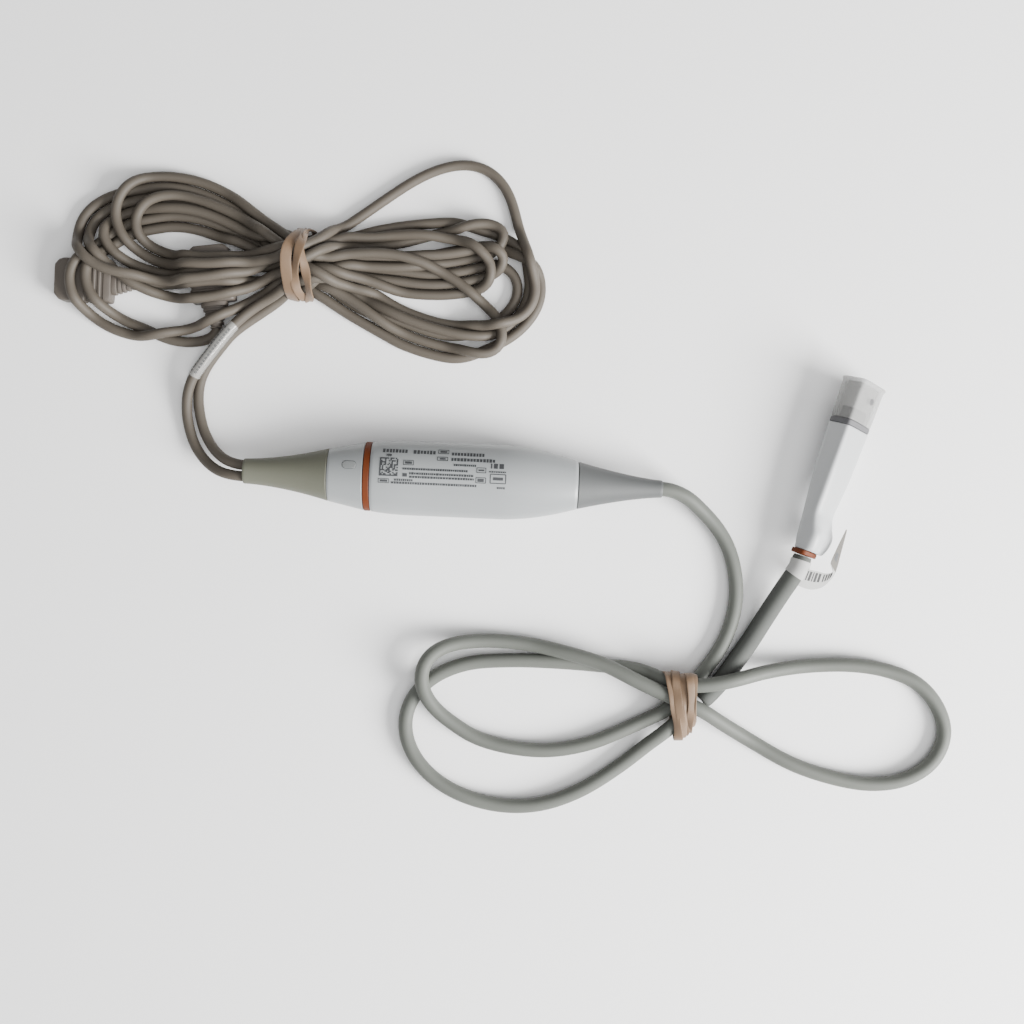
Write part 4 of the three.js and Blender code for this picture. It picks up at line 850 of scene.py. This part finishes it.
def wrap_loop(paths, radius, x, reach, y_range, stand_off, count=96):
    """A closed loop in the plane at x, drawn tight round every strand that passes within reach."""
    strands = np.vstack(paths)
    keep = (abs(strands[:, 0] - x) < reach) & (strands[:, 1] > y_range[0]) & (strands[:, 1] < y_range[1])
    circle = [(math.cos(a), math.sin(a)) for a in np.linspace(0, 2 * math.pi, 40, endpoint=False)]
    r = radius + stand_off
    loop = np.array(hull([(p[1] + r * c, p[2] + r * s) for p in strands[keep] for c, s in circle]))
    middle = loop.mean(axis=0)
    closed = np.vstack([loop, loop[:1]])
    run = lengths(closed)
    at = np.linspace(0, run[-1], count, endpoint=False)
    loop = np.column_stack([np.interp(at, run, closed[:, k]) for k in range(2)])
    round_it = np.arctan2(loop[:, 1] - middle[1], loop[:, 0] - middle[0]) % (2 * math.pi)
    start = int(np.argmin(round_it))
    loop = np.roll(loop, -start, axis=0)
    for _ in range(6):
        loop = 0.5 * loop + 0.25 * (np.roll(loop, 1, axis=0) + np.roll(loop, -1, axis=0))
    return loop


def rubber_loop(name, loop, shift, wide, thick, lift, twist, slot_nodes=()):
    """A flat band along a loop, wandering in X by shift(t), standing off by lift(t), rolled by twist(t)."""
    count = len(loop)
    ts = np.arange(count) / count
    tangents = np.roll(loop, -1, axis=0) - np.roll(loop, 1, axis=0)
    tangents /= np.linalg.norm(tangents, axis=1)[:, None]
    normals = np.column_stack([tangents[:, 1], -tangents[:, 0]])
    lifts = np.array([lift(t) for t in ts])[:, None]
    centres = np.column_stack([[shift(t) for t in ts], loop + normals * lifts])
    section = [(math.cos(a), math.sin(a)) for a in np.linspace(0, 2 * math.pi, 16, endpoint=False)]
    vertices = []
    for i, t in enumerate(ts):
        along = centres[(i + 1) % count] - centres[i - 1]
        along /= np.linalg.norm(along)
        out = np.array([0, *normals[i]])
        out -= along * np.dot(out, along)
        out /= np.linalg.norm(out)
        across = np.cross(along, out)
        roll = twist(t)
        across, out = (across * math.cos(roll) + out * math.sin(roll),
                       out * math.cos(roll) - across * math.sin(roll))
        w = wide * (1 - 0.5 * abs(math.sin(roll)) ** 2)
        for c, s in section:
            u = math.copysign(abs(c) ** 0.45, c) * w / 2
            v = math.copysign(abs(s) ** 0.45, s) * thick / 2
            p = centres[i] + across * u + out * v
            vertices.append(Vector((p[0], p[1], max(p[2], 0.12))))
    faces = loft_faces(ts, len(section), False)
    return place(new_piece(name, vertices, faces, 50), "band", "band_rubber", *slot_nodes)


def bump_at(t, middle, half):
    """One smooth hump of height 1 round a place on the loop."""
    d = abs((t - middle + 0.5) % 1 - 0.5) / half
    return 0 if d >= 1 else (1 + math.cos(math.pi * d)) / 2


def wave(t, phase=0.0):
    return math.cos(2 * math.pi * (t - phase))


# On each loop t runs from the far side (+Y), over the top at 0.25, to the near side at 0.5 and underneath.
LEAD_WAIST = (58, 104)
loop = wrap_loop(lead_paths, LEAD_D / 2, BAND_X, 5.5, LEAD_WAIST, 0.45)
rubber_loop("lead_band_wide", loop,
            lambda t: BAND_X - 2.6 - 1.3 * math.sin(2 * math.pi * t) ** 2 + 3.6 * bump_at(t, 0.0, 0.22),
            4.3, 0.8, lambda t: 0.5 + 0.5 * bump_at(t, 0.02, 0.2), lambda t: 0.22 * wave(t, 0.1), ["lead_band"])
rubber_loop("lead_band_inner", loop,
            lambda t: BAND_X + 0.5 + 1.5 * math.sin(4 * math.pi * t + 0.4) + 1.5 * bump_at(t, 0.5, 0.2),
            3.6, 0.75, lambda t: 0.45 + 1.0 * bump_at(t, 0.19, 0.09),
            lambda t: 0.55 * math.sin(6 * math.pi * t), ["lead_band"])
rubber_loop("lead_band_outer", loop,
            lambda t: BAND_X + 2.4 - 1.7 * math.sin(4 * math.pi * t + 0.4) + 1.5 * bump_at(t, 0.5, 0.2),
            3.5, 0.75, lambda t: 0.6 + 1.0 * bump_at(t, 0.33, 0.09),
            lambda t: -0.6 * math.sin(6 * math.pi * t + 0.8), ["lead_band"])

HOST_WAIST = (-103, -66)
HOST_BAND_X = 92
HOST_TURNS = [  # where along the cord, width, lean, roll and its phase, and how far it stands off
    (-2.9, 3.6, 4.6, 0.5, 0.0, 0.15), (-1.0, 3.4, 3.4, 0.35, 0.3, 0.62),
    (1.2, 3.3, 2.2, 0.62, 0.62, 0.2),
    (3.0, 3.1, 1.5, 0.5, 0.85, 0.7), (4.5, 2.4, 0.8, 0.7, 0.2, 0.25),
]
for i, (x, wide, lean, roll, phase, off) in enumerate(HOST_TURNS):
    loop = wrap_loop([host_path], HOST_D / 2, HOST_BAND_X + x * 0.7, 2.6, HOST_WAIST, 0.42)

    def drift(t, x=x, lean=lean, phase=phase):
        return HOST_BAND_X + x - lean * wave(t) * 0.6 + 0.35 * math.sin(2 * math.pi * (2 * t + phase))

    def stand(t, off=off, phase=phase):
        ripple = 0.12 * math.sin(2 * math.pi * (3 * t + phase))
        return 0.34 + off + 0.5 * bump_at(t, 0.02 + 0.06 * phase, 0.1) + ripple

    def rolled(t, roll=roll, phase=phase):
        return roll * math.sin(2 * math.pi * (2 * t + phase)) * (0.4 + 0.6 * bump_at(t, 0.4, 0.3))

    rubber_loop(f"host_band_turn_{i}", loop, drift, wide, 0.7, stand, rolled, ["host_band"])

# ---- the host plug

PLUG = (Matrix.Translation((136.8, -23.2, 9.3)) @ Matrix.Rotation(math.radians(72.8), 4, "Z")
        @ Matrix.Rotation(math.radians(40), 4, "X"))
PLUG_WALL = 1.4
BODY_START, BODY_END, CAP_END = 2.0, 52.5, 71.0
REAR_HALF, FRONT_HALF = (4.7, 3.7), (7.5, 5.2)
SECTIONS = np.array([  # along, width, height, and how far the section stands towards the thumb lobe
    [0, 1.15, 1.2, 0.7], [0.03, 1.25, 1.28, 0.9], [0.08, 1.38, 1.4, 1], [0.14, 1.42, 1.42, 1],
    [0.22, 1.37, 1.22, 0.5], [0.29, 1.3, 1.08, 0.12], [0.36, 1.32, 1.11, 0], [0.44, 1.37, 1.18, 0],
    [0.54, 1.45, 1.26, 0], [0.66, 1.51, 1.315, 0], [0.82, 1.545, 1.35, 0], [1, 1.596, 1.405, 0],
])
LOBE_SHIFT = 1.3
SQUARE_REAR, SQUARE_FRONT = 3.3, 7  # the corners sharpen towards the front
SCOOP = {"at": (8.6, -2.4), "reach": (4.6, 2.8), "depth": 1.5}  # a thumb's dent in the lobe's upper face


def section_at(along):
    """The plug's half width and half height, on a smooth curve through the sections."""
    out = []
    for k in (1, 2, 3):
        slope = np.gradient(SECTIONS[:, k], SECTIONS[:, 0])
        i = min(int(np.searchsorted(SECTIONS[:, 0], along, "right")) - 1, len(SECTIONS) - 2)
        x0, x1 = SECTIONS[i, 0], SECTIONS[i + 1, 0]
        h = x1 - x0
        t = (along - x0) / h
        y0, y1 = SECTIONS[i, k], SECTIONS[i + 1, k]
        out.append((2 * t**3 - 3 * t**2 + 1) * y0 + (t**3 - 2 * t**2 + t) * h * slope[i]
                   + (3 * t**2 - 2 * t**3) * y1 + (t**3 - t**2) * h * slope[i + 1])
    wide = REAR_HALF[0] * out[0] * mix(1, FRONT_HALF[0] / (REAR_HALF[0] * 1.596), along)
    tall = REAR_HALF[1] * out[1] * mix(1, FRONT_HALF[1] / (REAR_HALF[1] * 1.405), along)
    return wide, tall, max(out[2], 0)


def plug_ring(x, wide, tall, power=3.6, count=128):
    return [PLUG @ p for p in ring(x, wide, tall, power=power, count=count)]


def plug_rings(inset, steps, edge):
    rings = []
    for along in [0, 0.006, *stations(0.02, 0.985, steps), 0.994, 1]:
        wide, tall, lobe = section_at(along)
        x = mix(BODY_START + 0.1, BODY_END - 0.1, along)
        ease = edge if along in (0, 1) else 0
        shift, power = LOBE_SHIFT * lobe, mix(SQUARE_REAR, SQUARE_FRONT, along)
        section = ring(x, wide - inset - ease, tall - inset - ease, y=-shift, z=shift, power=power, count=128)
        for p in section:
            if not inset and p.z > 0:
                (x0, y0), (dx, dy) = SCOOP["at"], SCOOP["reach"]
                far = ((p.x - x0) / dx) ** 2 + ((p.y - y0) / dy) ** 2
                p.z -= SCOOP["depth"] * math.exp(-far)
        rings.append([PLUG @ p for p in section])
    return rings


place(sleeve("plug_casing", plug_rings(0, 72, 0.22), plug_rings(PLUG_WALL, 16, 0)),
      "plug_white", "white_shell", "plug_housing")


def plug_sleeve(name, xs, outer, inner, key, slot, node, outer_power=3.6, inner_power=3.6):
    xs = [xs[0], xs[0] + 0.25, xs[1] - 0.25, xs[1]]
    rings = [plug_ring(x, outer[0] - e, outer[1] - e, outer_power) for x, e in zip(xs, (0.2, 0, 0, 0.2))]
    bores = [plug_ring(x, *inner, inner_power) for x in xs]
    return place(sleeve(name, rings, bores), key, slot, node)


plug_sleeve("plug_rust_ring", (0.1, 1.9), (4.82, 3.82), (3.1, 2.1), "rust_ring", "rust_ring",
            "plug_colour_ring", inner_power=2.4)
plug_sleeve("plug_seal", (52.6, 54.7), (7.42, 5.12), (5.7, 3.4), "gasket", "gasket_grey",
            "plug_gasket", outer_power=SQUARE_FRONT)


def cap_bulge(x):
    return mix(-0.05, 0.2, (x - 55.2) / 13.6)


CAP = [(54.9, -0.2), (55.15, -0.05), *[(x, cap_bulge(x)) for x in stations(56, 68.4, 12)],
       (69.3, 0.27), (69.9, 0.45), (70.3, 0.6), (70.7, 0.62), (70.92, 0.5), (CAP_END, 0.3)]


def cap_ring(x, grow, shrink=0.0):
    """The cap's wider faces bulge a little towards its closed end."""
    return plug_ring(x, *(half + grow - shrink for half in FRONT_HALF), SQUARE_FRONT)


cap_outer = [cap_ring(x, g) for x, g in CAP]
cap_end = [cap_ring(CAP_END, 0.3, s) for s in (0.5, 1.4, 2.8)]
cap_inner = [cap_ring(x, mix(-0.05, 0.1, (x - 54.9) / 14.9), 1.2)
             for x in [69.8, 69.5, *stations(68, 54.9, 6)]]


def closed_cap():
    """Out over the cap's end and back down its inside, as one skin."""
    rings = [*cap_outer, *cap_end]
    around = len(rings[0])
    vertices = [p for r in [*rings, *cap_inner] for p in r]

    def skin(near, far):
        return [(near + j, near + (j + 1) % around, far + (j + 1) % around, far + j)
                for j in range(around)]

    faces = []
    for i in range(len(rings) - 1):
        faces += skin(i * around, (i + 1) * around)
    inside = len(rings) * around
    for i in range(len(cap_inner) - 1):
        faces += skin(inside + i * around, inside + (i + 1) * around)
    faces.append(tuple(inside - around + j for j in range(around)))
    faces.append(tuple(inside + j for j in range(around)))
    last = inside + (len(cap_inner) - 1) * around
    faces += [(last + j, last + (j + 1) % around, (j + 1) % around, j) for j in range(around)]
    return new_piece("cap_frosted", vertices, faces, 40)


place(closed_cap(), "cap", "frosted_cap", "protective_cap", body="cap")


DOT_X, DOT_Y = 64.3, -1.2


def cap_dot():
    """A small moulded dot standing out of the cap's wide face."""
    top = FRONT_HALF[1] + cap_bulge(DOT_X)
    rings = []
    for lift, radius in ((0.25, 1.35), (0.34, 1.3), (0.38, 1.1)):
        turn = np.linspace(0, 2 * math.pi, 28, endpoint=False)
        rings.append([PLUG @ Vector((DOT_X + radius * math.cos(a), DOT_Y + radius * math.sin(a),
                                     top + lift - 0.35)) for a in turn])
    return loft("cap_moulding_dot", rings)


place(cap_dot(), "cap_dark", "frosted_cap", body="cap")

# ---- the sleeve behind the plug, and its label


def behind_plug(distance):
    return tuple(PLUG @ Vector((-distance, 0, 0)))


relief_path = catmull([*SLEEVE_ROUTE, *[behind_plug(d) for d in (5, 2.5, 0.3)]], 0.9)
n = len(relief_path)
radii = [SLEEVE_D / 2 * (0.97 + 0.03 * min(1, i / (n - 1) * 3)) for i in range(n)]
radii[0], radii[1], radii[-1], radii[-2] = radii[0] - 0.5, radii[1] - 0.12, radii[-1] - 0.3, radii[-1] - 0.05
# The sleeve's darker grey is painted shade over the cord's own grey.
place(loft("plug_strain_relief", tube_rings(relief_path, radii, 48)),
      "sleeve_painted_shade", "grey_boot", "strain_relief")

run = lengths(relief_path)
label_line = evenly(relief_path[(run > run[-1] - 9) & (run < run[-1] - 1.5)], 0.8)
n = len(label_line)
wrap_outer, wrap_inner = (tube_rings(label_line, [SLEEVE_D / 2 + off] * n, 48) for off in (0.32, 0.12))
place(sleeve("label_wrap", wrap_outer, wrap_inner), "paper", "label_paper", "paper_label")


def surface(name, rows, thick, key, slot, *nodes):
    """A thin sheet through rows of points, closed on both sides and round its edge."""
    grid = np.array(rows, float)
    du = np.gradient(grid, axis=0)
    dv = np.gradient(grid, axis=1)
    normal = np.cross(du, dv)
    normal /= np.linalg.norm(normal, axis=2)[:, :, None]
    layers = [grid + normal * thick / 2, grid - normal * thick / 2]
    rows_n, columns = grid.shape[:2]
    vertices = [Vector(p) for layer in layers for p in layer.reshape(-1, 3)]

    def index(layer, i, j):
        return layer * rows_n * columns + i * columns + j

    faces = []
    for layer in (0, 1):
        faces += [(index(layer, i, j), index(layer, i + 1, j),
                   index(layer, i + 1, j + 1), index(layer, i, j + 1))
                  for i in range(rows_n - 1) for j in range(columns - 1)]
    rim = [(i, 0) for i in range(rows_n)] + [(rows_n - 1, j) for j in range(1, columns)]
    rim += [(i, columns - 1) for i in range(rows_n - 2, -1, -1)] + [(0, j) for j in range(columns - 2, 0, -1)]
    for (i, j), (k, l) in zip(rim, rim[1:] + rim[:1]):
        faces.append((index(0, i, j), index(0, k, l), index(1, k, l), index(1, i, j)))
    return place(new_piece(name, vertices, faces, 60), key, slot, *nodes)


# The flag's two edges, from the sleeve out to the curl and back up to its pointed tail.
UPPER_EDGE = [
    (134.6, -27.0, 12.2), (136.4, -28.0, 12.4), (139.6, -28.7, 11.8), (142.9, -29.3, 10.8),
    (146.1, -29.9, 10.2), (148.0, -29.2, 11.4), (147.6, -27.4, 13.4), (146.4, -26.2, 14.2),
    (148.6, -20.5, 13.0), (152.5, -12.4, 11.6),
]
LOWER_EDGE = [
    (132.6, -33.4, 9.8), (134.6, -34.6, 9.8), (137.6, -35.8, 8.8), (141.4, -36.4, 7.6),
    (145.2, -35.4, 7.2), (147.6, -33.0, 8.2), (149.0, -30.4, 10.0), (149.6, -27.6, 11.4),
    (150.8, -22.0, 11.6), (152.9, -12.8, 11.2),
]


def flag_rows():
    upper, lower = catmull(UPPER_EDGE, 0.6), catmull(LOWER_EDGE, 0.6)
    steps = 72
    upper, lower = (np.column_stack([np.interp(np.linspace(0, 1, steps), np.linspace(0, 1, len(e)), e[:, k])
                                     for k in range(3)]) for e in (upper, lower))
    return [[mix(upper[i], lower[i], j / 12) for j in range(13)] for i in range(steps)]


flag = flag_rows()
CURL = 40  # the row where the flag turns its back
surface("label_flag", flag[: CURL + 1], 0.14, "paper", "label_paper", "paper_label")
# The tail past the curl gets painted shade, a dark taupe for its back turned away from the light.
surface("label_tail", flag[CURL:], 0.14, "paper_tail_painted_shade", "label_paper", "paper_label")
patch = [[p + np.array([0, -0.02, 0.12]) for p in row[3:9]] for row in flag[46:53]]
surface("label_back_patch", patch, 0.05, "ink", "label_paper")


def flag_bars():
    """Plain bars across the upper half of the flag, of no real code."""
    i = 6
    number = 0
    while i < 33:
        span = int(rng.integers(1, 3))
        rows = [[p + np.array([0, 0.02, 0.12]) for p in row[1:8]] for row in flag[i : i + span + 1]]
        surface(f"label_bar_{number}", rows, 0.05, "ink_black", "label_paper")
        number += 1
        i += span + int(rng.integers(1, 3))


flag_bars()

# ---- CAD nodes that show as they are


def lead_connector(name, front, heading):
    """A small flat plug: bevelled body with grip grooves and a socket, and a ribbed boot behind it."""
    frame_of = Matrix.Translation((*front, 3.7)) @ Matrix.Rotation(math.radians(heading), 4, "Z")

    def placed(rings):
        return [[frame_of @ p for p in r] for r in rings]

    profile = [(-22, 7.9, 3.1), (-21.7, 8.3, 3.5), (-21, 8.5, 3.68)]
    for i in range(4):
        x = -18.6 + 2.1 * i
        profile += [(x - 0.75, 8.5, 3.69), (x - 0.35, 8.1, 3.42), (x + 0.35, 8.1, 3.42), (x + 0.75, 8.5, 3.69)]
    profile += [(-3.4, 8.5, 3.69), (-1.6, 7.9, 3.69), (-0.3, 6.4, 3.5), (0, 6.1, 3.2)]
    body = loft(f"{name}_body", placed([ring(x, a, b, power=7, count=88) for x, a, b in profile]))
    socket = [ring(x, 5.3, 1.75, power=7, count=48) for x in (-9, 1)]
    carve(body, loft(f"{name}_socket", placed(socket)))
    place(body, "lead_moulding", "lead_moulding", name)
    collars = [(-22.15, 5.2, 3.0)]
    for i in range(5):
        x = -23.0 - 1.75 * i
        a, b = mix(5.3, 2.9, i / 4), mix(3.15, 2.75, i / 4)
        collars += [(x, a, b), (x - 0.75, a - 0.1, b - 0.05),
                    (x - 1.0, a - 0.75, b - 0.45), (x - 1.5, a - 0.85, b - 0.5)]
    collars += [(-31.9, 2.6, 2.55), (-32.2, 2.35, 2.3)]
    boot_rings = [ring(x, a, b, power=2.5, count=56) for x, a, b in collars]
    piece = loft(f"{name}_ribs", placed(boot_rings))
    place(piece, "lead_moulding", "lead_moulding", f"{name}_boot")


for connector, (front, heading) in CONNECTORS.items():
    lead_connector(connector, front, heading)
INSIDE = {
    "gold": ("lead_connector_1_tongue", "lead_connector_2_tongue", "contact_comb"),
    "nose": ("contact_block",),
    "tin": ("shield_can", "clock_crystal", "supply_capacitor", "lead_clamp", "host_clamp"),
    "chip": ("processor_chip", "memory_chip", "isolation_transformer", "identity_chip"),
    "ivory": ("lead_wire_header", "host_wire_header", "status_light"),
    "board": ("circuit_board", "plug_board"),
    "seal": ("lead_end_seal", "host_end_seal"),
}
for key, nodes in INSIDE.items():
    for node in nodes:
        repaint(node, M[key])
for wires, count in (("lead_wire", 4), ("host_wire", 4), ("plug_wire", 2)):
    for i in range(count):
        repaint(f"{wires}_{i + 1}", WIRES[i])

# ---- floor and lights


def floor_material():
    m = bpy.data.materials.new("ground_white")
    m.use_nodes = True
    shader = m.node_tree.nodes["Principled BSDF"]
    shader.inputs["Base Color"].default_value = (0.93, 0.93, 0.93, 1)
    shader.inputs["Roughness"].default_value = 0.9
    return m


edge = 3.0
mesh = bpy.data.meshes.new("ground")
mesh.from_pydata([(-edge, -edge, 0), (edge, -edge, 0), (edge, edge, 0), (-edge, edge, 0)], [], [(0, 1, 2, 3)])
ground = bpy.data.objects.new("ground", mesh)
bpy.context.collection.objects.link(ground)
ground.data.materials.append(floor_material())


def soft_light(name, at, size, power, color=(1, 1, 1)):
    data = bpy.data.lights.new(name, "AREA")
    data.energy = power
    data.size = size
    data.color = color
    lamp = bpy.data.objects.new(name, data)
    bpy.context.collection.objects.link(lamp)
    lamp.location = at
    lamp.rotation_euler = (Vector((0.03, -0.01, 0)) - Vector(at)).to_track_quat("-Z", "Y").to_euler()


soft_light("key", (1.0, -0.5, 0.55), 0.6, 64, (1, 0.995, 0.985))
soft_light("fill", (-0.3, -1.0, 0.9), 1.2, 4, (0.97, 0.985, 1))
soft_light("top", (0.4, -0.25, 1.4), 1.2, 13)

world = bpy.data.worlds.new("studio")
bpy.context.scene.world = world
world.use_nodes = True
world.node_tree.nodes["Background"].inputs["Color"].default_value = (1, 1, 1, 1)
world.node_tree.nodes["Background"].inputs["Strength"].default_value = 0.38
